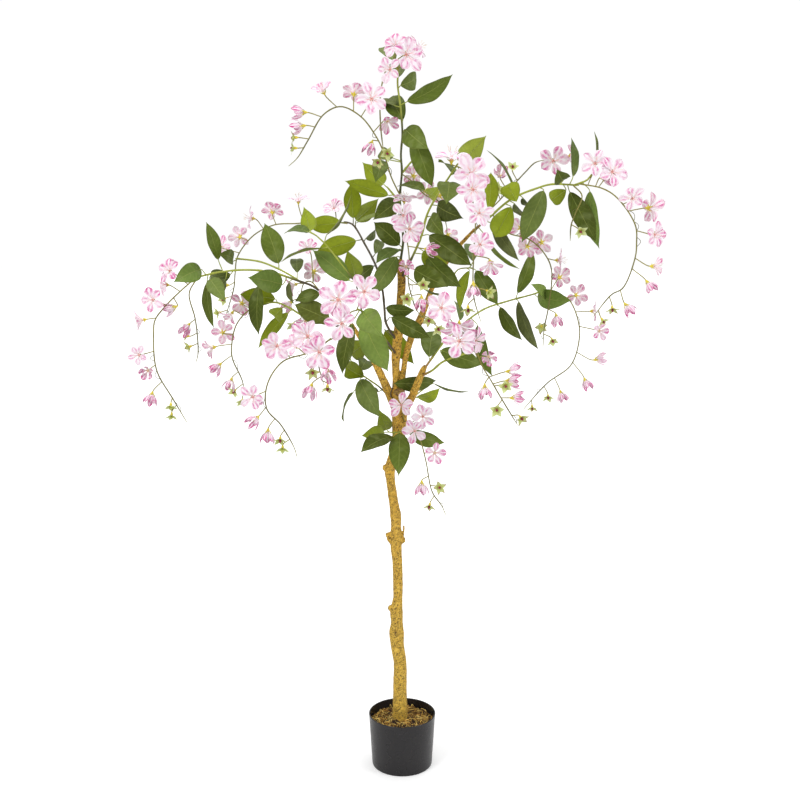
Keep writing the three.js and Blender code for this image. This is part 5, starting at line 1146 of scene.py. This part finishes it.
woodPaths = [sight(rows) for rows in woodRoutes.values()]
sprayPaths = {}
for name, data in sprayLayout.items():
    coarse, fine = routesOf(data, woodPaths, 0, sprayStem["step"])
    sprayPaths[name] = coarse
    share, colour = woodyShare.get(name, (0.1, "bark"))
    wooden = share >= 1
    radius = data.get("radius", sprayStem["radius"]) * sprayStem["slim"]
    end = data.get("end", sprayStem["end"]) * sprayStem["endSlim"]
    parts = []
    for i, line in enumerate(fine):
        at = np.linspace(0, 1, len(line))[:, None]
        woody = smoothStep(at, share + 0.12, share - 0.04) if i == 0 and not wooden else wooden + 0 * at
        tones = blended(stemTones["leafy"], stemTones[colour], woody)
        start = radius * (sprayStem["side"] if i else 1)
        parts.append(stemParts(line, start, end, sprayStem["sides"], tones, sprayStem["joints"]))
    for row, tone in zip(data["leaves"], data["tones"].split()):
        parts += leafParts(coarse, fine, row, tone, "twig" if wooden else "young")
    makePiece("spray_" + name + "_leaves", parts, [leafGreen, stalkGreen], ["spray_" + name])
print("sprays made:", len(sprayLayout))


# racemes

# reach across, then rings as (radius, height) from the heart, the half width of a petal, how far it wraps
# round, how much it is flushed, and the number and length of its threads
bloomForms = {
    "open": {"reach": 28, "claw": (1.8, 0.2), "shoulder": (18.2, 6.6), "tip": (28.0, 6.2), "half": 9.4,
             "wrap": 0.0, "flush": 0.22, "threads": (6, 20)},
    "half": {"reach": 23, "claw": (1.8, 0.8), "shoulder": (15.5, 12.0), "tip": (23.0, 15.5), "half": 8.0,
             "wrap": 0.2, "flush": 0.45, "threads": (6, 20)},
    "bell": {"reach": 16.5, "claw": (1.8, 1.0), "shoulder": (13.2, 12.5), "tip": (15.2, 24.5), "half": 5.9,
             "wrap": 0.5, "flush": 0.78, "threads": (3, 12)},
    "bud": {"reach": 14, "claw": (1.6, 1.0), "shoulder": (10, 6.6), "tip": (15.5, 8.5), "half": 5.4,
            "wrap": 0.0, "flush": 1.0},
}
innerBell = {"claw": (1.6, 1.0), "shoulder": (9.5, 10), "tip": (6, 19), "half": 5.2, "wrap": 0.7}
calyxLobe = {"claw": (2.4, -3.4), "shoulder": (5.4, -0.8), "tip": (8.2, 1.4), "half": 1.9, "wrap": 0.0}
calyxHook = {"claw": (2.4, -3.0), "shoulder": (7.0, 2.4), "tip": (10, 6.5), "half": 1.9, "wrap": 0.0}
# turned parts: radius and height from the heart
cupProfile = [[0.7, -9], [1.4, -7], [2.7, -4.2], [3.8, -1.8], [3.3, 0.2], [1.5, 1.3], [0.4, 1.7]]
budCup = [[0.7, -8], [1.5, -5.5], [2.7, -2.6], [3.3, 0.3], [2.2, 1.8], [0.4, 2.3]]
budHeart = [[0.3, 1], [1.9, 2.2], [2.7, 4.4], [2.6, 6.6], [1.8, 8.6], [0.3, 9.8]]
threadRadii = [0.34, 0.3, 0.27, 0.27, 0.62, 0.35]
bloomTones = {"sepal": (0.50, 0.54, 0.10), "sepalPale": (0.64, 0.72, 0.36), "sepalRust": (0.26, 0.10, 0.035),
              "crimson": (0.24, 0.012, 0.05), "calyx": (0.74, 0.60, 0.045), "filament": (0.86, 0.42, 0.42),
              "thread": (0.93, 0.80, 0.84), "anther": (0.84, 0.70, 0.58), "pedicel": (0.27, 0.24, 0.032),
              "heart": (0.90, 0.74, 0.34), "coral": (0.84, 0.40, 0.32), "white": (1, 1, 1)}
# how far a heart stands off its stem in mm, and the share of two reaches that two hearts keep apart
spacing = {"stand": 15, "room": 0.55, "passes": 24}
# a raceme's stems, as a spray's; short keeps its root off the end of its host
racemeStem = {"step": 42, "sunk": 14, "radius": 1.7, "end": 1.45, "slim": 0.86, "sides": 6, "joints": 0.12,
              "fade": 0.45, "short": 10}
# a bloom's stalk: how far back along its stem it leaves, how far behind the heart it ends, and its radii
stalkForm = {"back": 8, "behind": 6, "radii": (1.1, 1.3)}


def bloomRow(row):
    # a row with slide 0 and size 1 where it leaves them out
    return [*row, *(0, 1)[len(row) - 5:]]


def wayOf(turn, tilt):
    # turn 0 faces the eye and 90 the right; tilt 90 faces straight up
    yaw, pitch = math.radians(turn), math.radians(tilt)
    return np.array([math.sin(yaw) * math.cos(pitch), -math.cos(yaw) * math.cos(pitch), math.sin(pitch)])


def turnedFromUp(way):
    # the shortest turn that carries the z axis to a direction: I + [v] + [v][v] / (1 + way.z), v = z x way
    x, y, z = way
    skew = np.array([[0, 0, x], [0, 0, y], [-x, -y, 0]])
    return np.eye(3) + skew + skew @ skew / max(1 + z, 1e-6)


def depthsOf(lines, rows):
    # each bloom stands off its stem the way it faces; two that would meet move apart along the line of sight
    blooms = []
    for across, up, kind, turn, tilt, slide, size in map(bloomRow, rows):
        stem = nearestSeen(lines, across, up, racemeStem["sunk"])
        depth = stem[1] + wayOf(turn, tilt)[1] * spacing["stand"] * size + slide * 10
        blooms.append([across * 10, up * 10, depth, bloomForms[kind]["reach"] * size])
    for _ in range(spacing["passes"]):
        for i, a in enumerate(blooms):
            for b in blooms[:i]:
                need = (a[3] + b[3]) * spacing["room"]
                gap = (a[2] - b[2]) or (1 if i % 2 else -1)
                lack = math.sqrt(max(0, need**2 - (a[0] - b[0]) ** 2 - (a[1] - b[1]) ** 2)) - abs(gap)
                if lack > 0:
                    a[2] += math.copysign(lack / 3, gap)
                    b[2] -= math.copysign(lack / 3, gap)
    return [bloom[2] for bloom in blooms]


def through(points, share):
    # the parabola through three (share, value) points
    (a, fa), (b, fb), (c, fc) = points
    first = fa * (share - b) * (share - c) / ((a - b) * (a - c))
    second = fb * (share - a) * (share - c) / ((b - a) * (b - c))
    return first + second + fc * (share - a) * (share - b) / ((c - a) * (c - b))


def petalGrid(form, count, spin, size, rows, cols, pointed=False):
    # r and height are parabolas of s; half width is a sine of s^1.6, or of s^0.62 where it is pointed;
    # a wrapped petal bends round the bloom's axis
    s = (1 - (1 - np.linspace(0, 1, rows)) ** 1.35)[None, :, None]
    v = np.linspace(-1, 1, cols)[None, None]
    jitter = draw.normal(0, 1, (7, count, 1, 1))
    claw, shoulder, tip = (np.array(form[k], float) for k in ("claw", "shoulder", "tip"))
    radius = through([(0, claw[0]), (0.66, shoulder[0]), (1, tip[0])], s) * (1 + 0.05 * jitter[0])
    height = through([(0, claw[1]), (0.66, shoulder[1]), (1, tip[1])], s) + 0.06 * tip[0] * jitter[1] * s
    half = form["half"] * (1 + 0.08 * jitter[2])
    if pointed:
        width = half * np.sin(math.pi * s**0.62) ** 0.9 + 0.15
    else:
        width = half * np.maximum(np.sin(math.pi * s**1.6), 0) ** 0.68 + 0.3
        notch = np.clip(0.035 + 0.04 * jitter[6], -0.03, 0.09) * tip[0]
        radius = radius - notch * s**6 * (np.exp(-((v / 0.3) ** 2)) - 0.6 * v**2)
        height = (height + 0.20 * half * np.abs(v) ** 1.6 * np.sin(math.pi * s)
                  + 0.8 * np.sin(3.6 * v + 2.2 * jitter[3]) * s**3 + (jitter[4] * 1.5 - 0.8) * s**4)
    angle = spin + 2 * math.pi * (np.arange(count)[:, None, None] / count) + 0.09 * jitter[5]
    aside = width * v
    wrapped = angle + form["wrap"] * aside / np.maximum(radius, 6)
    straight = aside * (1 - form["wrap"])
    x = radius * np.cos(wrapped) - straight * np.sin(angle)
    y = radius * np.sin(wrapped) + straight * np.cos(angle)
    return together(x, y, height) * size, together((v[0] + 1) / 2, s[0])


def petals(form, count, spin, size, rows, thick, flush, drop=0.0):
    # a skin over each of a ring of petals, the whole ring moved down by a drop
    grid, uv = petalGrid(form, count, spin, size, rows, 5)
    return sheet(grid - [0, 0, drop], thick, uv, 0, bloomTones["white"], bloomTones["white"], flush)


def turnedRound(profile, size, tone, lobes=0.0):
    # rings of radius r at height z round the axis, closed at both ends; lobes make the ring five-sided
    radius, height = (np.array(profile) * size).T
    part = tubes(together(0 * height, 0 * height, height), np.maximum(radius, 0.05), 8, 1, tone)
    if lobes:
        turn = np.arctan2(part["points"][:, 1], part["points"][:, 0])
        part["points"][:, :2] *= (1 + lobes * np.cos(5 * turn))[:, None]
    return part


def stamenLines(count, length, spin, size):
    # threads that rise from the heart and spread: radius a + b s^1.5, height c + length s
    angle = spin + 0.4 + 2 * math.pi * np.arange(count) / count + draw.normal(0, 0.25, count)
    s = np.linspace(0, 1, 6)
    spread = 0.8 + draw.uniform(0.22, 0.5, (count, 1)) * length * s**1.5
    rise = 1 + length * s * draw.uniform(0.75, 1.1, (count, 1))
    return together(spread * np.cos(angle)[:, None], spread * np.sin(angle)[:, None], rise) * size


def budParts(form, spin, size):
    # pale sepals round a small closed bud that stands in its cup
    grid, uv = petalGrid(form, 5, spin, size, 6, 3, pointed=True)
    s = uv[..., 1:2]
    share = np.concatenate([s.reshape(-1, 1), s[1:-1, 1:-1].reshape(-1, 1)])
    end = bloomTones["sepalRust" if draw.random() < 0.3 else "sepalPale"]
    tones = blended(bloomTones["sepal"], bloomTones["sepalPale"], share)
    tones = tinted(tones, end, smoothStep(share, 0.6, 1.0))
    sepals = sheet(grid, 0.5 * size, uv, 1, bloomTones["sepal"], bloomTones["sepal"])
    colour = bloomTones["crimson" if draw.random() < 0.8 else "sepal"]
    return [shaded(sepals, np.tile(tones, (5, 1))), turnedRound(budHeart, size, colour, 0.07),
            turnedRound(budCup, size, bloomTones["calyx"])]


def flowerParts(kind, spin, size, flush):
    # a ring of petals, sometimes with one more or with an inner bell, threads, a cup and the calyx round it
    form = bloomForms[kind]
    parts = [petals(form, 5, spin, size, 8, 0.45, flush)]
    if kind == "bell":
        parts.append(petals(innerBell, 2, spin + 0.6, size, 6, 0.4, flush))
    elif kind == "open" and draw.random() < 0.45:
        between = spin + math.pi / 5 * (1 + 2 * draw.integers(0, 5))
        parts.append(petals(form, 1, between, size * 0.88, 8, 0.45, flush, 1.5))
    tones = [bloomTones[word] for word in ("filament", "thread", "anther") for _ in range(2)]
    threads = stamenLines(*form["threads"], spin, size)
    parts.append(tubes(threads, np.array(threadRadii) * size, 4, 1, tones))
    heart = bloomTones["coral" if kind == "open" else "heart"]
    parts.append(turnedRound(cupProfile, size, [bloomTones["calyx"]] * 4 + [heart] * 3))
    grid, uv = petalGrid(calyxHook if kind == "bell" else calyxLobe, 5, spin, size, 4, 3, pointed=True)
    parts.append(sheet(grid, 0.5, uv, 1, bloomTones["sepal"], bloomTones["calyx"]))
    return parts


def bloomParts(lines, fineLines, depth, row, index):
    # the bloom is made upright at the origin, turned the way it faces, and hung on a stalk from its stem
    across, up, kind, turn, tilt, _, size = bloomRow(row)
    centre = sight([across, up, depth / 10])
    facing = wayOf(turn, tilt)
    turned = turnedFromUp(facing)
    spin = index * 0.9
    back = centre - facing * stalkForm["behind"] * size
    root = nearestOn(fineLines, rootOn(lines, back, racemeStem["sunk"], stalkForm["back"]))
    flush = float(np.clip(bloomForms[kind]["flush"] + draw.normal(0, 0.12), 0, 1))
    parts = budParts(bloomForms[kind], spin, size) if kind == "bud" else flowerParts(kind, spin, size, flush)
    for part in parts:
        part["points"] = part["points"] @ turned.T + centre
    line = stalkLine(root, back, facing, 0.7)
    tones = blended(stemTones["raceme"], bloomTones["pedicel"], np.linspace(0, 1, stalkPlaces)[:, None])
    return [*parts, tubes(line, np.linspace(*stalkForm["radii"], stalkPlaces), 5, 1, tones)]


def curlParts(line):
    # thin loops that leave the stem and come back to it: stem + side * reach * sin(pi t), with a wave across
    parts = []
    curls = min(3, max(1, len(line) // 14))
    for start in draw.choice(np.arange(2, max(3, len(line) - 4)), curls, replace=False):
        t = np.linspace(0, 1, 10)[:, None]
        stop = min(len(line) - 1, start + int(draw.integers(2, 5)))
        side = unit(np.cross(line[stop] - line[start], [0, 1, 0.1])) * draw.choice([-1.0, 1.0])
        loop = (line[start] * (1 - t) + line[stop] * t + side * draw.uniform(4, 9) * np.sin(math.pi * t)
                + np.array([0, 1, 0]) * draw.uniform(-5, 5) * np.sin(2 * math.pi * t))
        parts.append(tubes(loop, 0.6, 4, 1, stemTones["tail"]))
    return parts


for name, data in racemeLayout.items():
    inWood = data["host"] == "wood"
    hosts = woodPaths if inWood else sprayPaths[data["host"]]
    coarse, fine = routesOf(data, hosts, 0 if inWood else racemeStem["short"], racemeStem["step"])
    parts = []
    start = racemeStem["radius"] * racemeStem["slim"]
    for line in fine:
        at = np.linspace(0, 1, len(line))[:, None]
        tones = blended(stemTones["raceme"], stemTones["tail"], at)
        tones = tinted(tones, stemTones["thread"], smoothStep(at, 0.85, 1.0))
        end, sides, joints, fade = (racemeStem[word] for word in ("end", "sides", "joints", "fade"))
        parts.append(stemParts(line, start, end, sides, tones, joints, fade))
        parts += curlParts(line)
    for index, (row, depth) in enumerate(zip(data["blooms"], depthsOf(coarse, data["blooms"]))):
        parts += bloomParts(coarse, fine, depth, row, index)
    makePiece("raceme_" + name + "_blooms", parts, [petalSilk, stalkGreen], ["raceme_" + name])
print("racemes made:", len(racemeLayout))


# pot, cement and coir

potForm = {"height": 125, "top": 77.5, "base": 70, "wall": 2.5, "floor": 3, "foot": 2.6, "sides": 128}
# dark is the colour of the heap under the shreds: painted shade in the gaps between them
coirForm = {"top": 107, "heap": 9, "low": 92.3, "sides": 72, "rings": 16,
            "shreds": 780, "straws": 0.30, "tans": 0.42, "thick": [0.35, 0.9, 1, 1, 0.85, 0.3],
            "straw": (0.95, 0.68, 0.19), "tan": (0.50, 0.27, 0.045), "brown": (0.11, 0.048, 0.012),
            "dark": (0.014, 0.006, 0.003)}


def innerRadius(height):
    # the pot's inner radius widens evenly from floor to rim
    return potForm["base"] + (potForm["top"] - potForm["base"]) * height / potForm["height"] - potForm["wall"]


def makePot():
    # a profile (radius, height) carried round the axis: foot, outer wall, thin rim, inner wall, floor
    h, top, base, floor, edge = (potForm[word] for word in ("height", "top", "base", "floor", "foot"))
    quarter, rimTurn = np.linspace(0, math.pi / 2, 6), np.linspace(-0.35, math.pi + 0.2, 9)
    under = [(2, 0), (base - 12, 0), (base - 10.5, 0.8), (base - 9, 0.0)]
    foot = [(base - edge + edge * math.sin(a), edge - edge * math.cos(a)) for a in quarter]
    wall = [(base + (top - base) * z / h, z) for z in np.linspace(8, h - 3.0, 12)]
    rim = [(top - 1.25 + 1.35 * math.cos(a), h - 1.3 + 1.3 * math.sin(a)) for a in rimTurn]
    inner = [(innerRadius(z), z) for z in np.linspace(h - 4, 88, 8)]
    profile = np.array([*under, *foot, *wall, *rim, *inner, (innerRadius(floor), floor), (2, floor)])
    turn, radius, height = turns(potForm["sides"]), profile[:, :1], profile[:, 1:]
    rings = together(radius * np.cos(turn), radius * np.sin(turn), height)
    part = closedRings(rings[None], 0, (0.04, 0.04, 0.04))
    makePiece("potShell", [part], [potBlack], ["pot"])


def coirHeight(across, back):
    # the mat's surface: a low heap with lumps that die out at the wall, and a hollow behind the trunk's left
    share = np.hypot(across, back) / innerRadius(coirForm["top"])
    points = together(across, back, 0 * across).reshape(-1, 3)
    lumps = (grain(points, 17, 31) * 3.2 + grain(points, 8, 32) * 1.8).reshape(across.shape)
    hollow = 7 * np.exp(-(((across + 26) / 17) ** 2) - ((back - 24) / 18) ** 2)
    return coirForm["top"] - 4 + coirForm["heap"] * (1 - share) + lumps * (1 - share**8) - hollow


def coirMound():
    # rings of the heap's surface from the wall to the middle, coloured near-black: painted shade for the gaps
    # between the shreds
    edge = innerRadius(coirForm["low"]) - 1.2
    turn = turns(coirForm["sides"])
    radius = edge * np.concatenate([[1], np.linspace(0.985, 0.02, coirForm["rings"])])[:, None]
    x, y = radius * np.cos(turn), radius * np.sin(turn)
    z = coirHeight(x, y)
    z[0] = coirForm["low"]
    mound = closedRings(together(x, y, z)[None], 0, coirForm["dark"])
    mound["uv"] = 0 * mound["uv"]
    return mound


def coirShreds():
    # short arched threads laid at seeded places over the heap: heap + loft (1 - t^2) + tilt * half length * t
    count = coirForm["shreds"]
    away = np.sqrt(draw.uniform(0.04, 0.93, count)) * innerRadius(coirForm["top"])
    angle = draw.uniform(0, 2 * math.pi, count)
    middle = together(away * np.cos(angle), away * np.sin(angle))
    lie = draw.uniform(0, 2 * math.pi, count)
    half = draw.uniform(4, 13, count)
    t = np.linspace(-1, 1, 6)
    bend = draw.normal(0, 0.35, (count, 1))
    heading = lie[:, None] + bend * t
    flat = middle[:, None] + together(np.cos(heading), np.sin(heading)) * (half[:, None] * t)[..., None]
    limit = innerRadius(coirForm["top"]) - 1.5
    far = np.maximum(np.linalg.norm(flat, axis=-1, keepdims=True), 1e-6)
    flat = flat * np.minimum(1, limit / far)
    tilt = draw.normal(0, 0.24, (count, 1))
    loft = draw.gamma(1.7, 1.8, (count, 1))
    z = coirHeight(flat[..., 0], flat[..., 1]) + loft * (1 - t**2) + tilt * half[:, None] * t * 0.5 + 0.3
    z = np.minimum(z, potForm["height"] - 7)
    lines = np.concatenate([flat, z[..., None]], axis=-1)
    thick = draw.uniform(0.30, 0.95, (count, 1)) * np.array(coirForm["thick"])
    pick = draw.random(count)[:, None]
    browner = np.where(pick < coirForm["straws"] + coirForm["tans"], coirForm["tan"], coirForm["brown"])
    colours = np.where(pick < coirForm["straws"], coirForm["straw"], browner)
    colours = colours * draw.uniform(0.42, 1.42, (count, 1))
    return shaded(tubes(lines, thick, 4, 0, coirForm["tan"]), np.repeat(colours, len(t) * 4, axis=0))


makePot()
makePiece("coirMat", [coirMound(), coirShreds()], [coirBrown], ["coir_top"])
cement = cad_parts["cement_fill"]
cement.data.materials.clear()
cement.data.materials.append(cementGrey)
print("pot and coir made")


# floor, light and camera

studio = {"floor": (0.90, 0.90, 0.90), "half": 20, "glow": (0.25, 0.75), "world": 0.68, "sky": 1.02,
          "lens": 49.5, "pitch": 10.07}
# round lamps: place, the height they look at, diameter in metres and power
lamps = {"keyBox": ((-1.9, -2.2, 2.9), 0.95, 1.6, 50), "sideBox": ((2.6, -1.2, 1.8), 0.9, 1.4, 24),
         "topBox": ((0.2, 0.6, 3.4), 1.0, 2.0, 27)}


def placed(name, data):
    # an object for the data, added to the scene
    thing = bpy.data.objects.new(name, data)
    bpy.context.scene.collection.objects.link(thing)
    return thing


def makeFloor():
    # a flat pale floor that runs out to the horizon
    mesh = bpy.data.meshes.new("studioFloor")
    half = studio["half"]
    corners = [(-half, -half, 0), (half, -half, 0), (half, half, 0), (-half, half, 0)]
    mesh.from_pydata(corners, [], [(0, 1, 2, 3)])
    material, tree, shader = newMaterial("studioPaper", Roughness=0.9)
    shader.inputs["Emission Color"].default_value = (1, 1, 1, 1)
    # the paper glows a little to the camera, more with its distance from the pot
    where = objectPlace(tree)
    away = tree.nodes.new("ShaderNodeVectorMath")
    away.operation = "LENGTH"
    tree.links.new(where, away.inputs[0])
    glow = window(tree, away.outputs["Value"], 0.15, 2.5, *studio["glow"])
    toCamera = tree.nodes.new("ShaderNodeLightPath").outputs["Is Camera Ray"]
    tree.links.new(times(tree, glow, toCamera), shader.inputs["Emission Strength"])
    tree.links.new(mottled(tree, where, studio["floor"], 2, 40, 0.01)["Color"], shader.inputs["Base Color"])
    mesh.materials.append(material)
    placed("studioFloor", mesh)


def makeLight(name, spot, target, size, power):
    # a round lamp turned to look from its spot to a height on the pot's axis
    lamp = bpy.data.lights.new(name, "AREA")
    lamp.shape, lamp.size, lamp.energy = "DISK", size, power
    holder = placed(name, lamp)
    x, y, z = np.array([0, 0, target]) - spot
    holder.location = spot
    holder.rotation_euler = (math.atan2(math.hypot(x, y), -z), 0, math.atan2(y, x) - math.pi / 2)


def makeAir():
    # pure white to the camera and a little dimmer as a light
    world = bpy.data.worlds.new("studioAir")
    world.use_nodes = True
    tree = world.node_tree
    air = tree.nodes["Background"]
    air.inputs["Color"].default_value = (1, 1, 1, 1)
    toCamera = tree.nodes.new("ShaderNodeLightPath").outputs["Is Camera Ray"]
    strength = wire(tree, "MULTIPLY_ADD", toCamera, studio["sky"] - studio["world"], studio["world"])
    tree.links.new(strength, air.inputs["Strength"])
    bpy.context.scene.world = world


makeFloor()
for name, (spot, target, size, power) in lamps.items():
    makeLight(name, spot, target, size, power)
makeAir()
bpy.context.scene.view_settings.view_transform = "Standard"

lens = bpy.data.cameras.new("photoView")
lens.lens, lens.sensor_width, lens.clip_end = studio["lens"], 36, 60
camera = placed("photoView", lens)
camera.location = eye * 0.001
camera.rotation_euler = (math.radians(90 - studio["pitch"]), 0, 0)
bpy.context.scene.camera = camera
print("studio made")
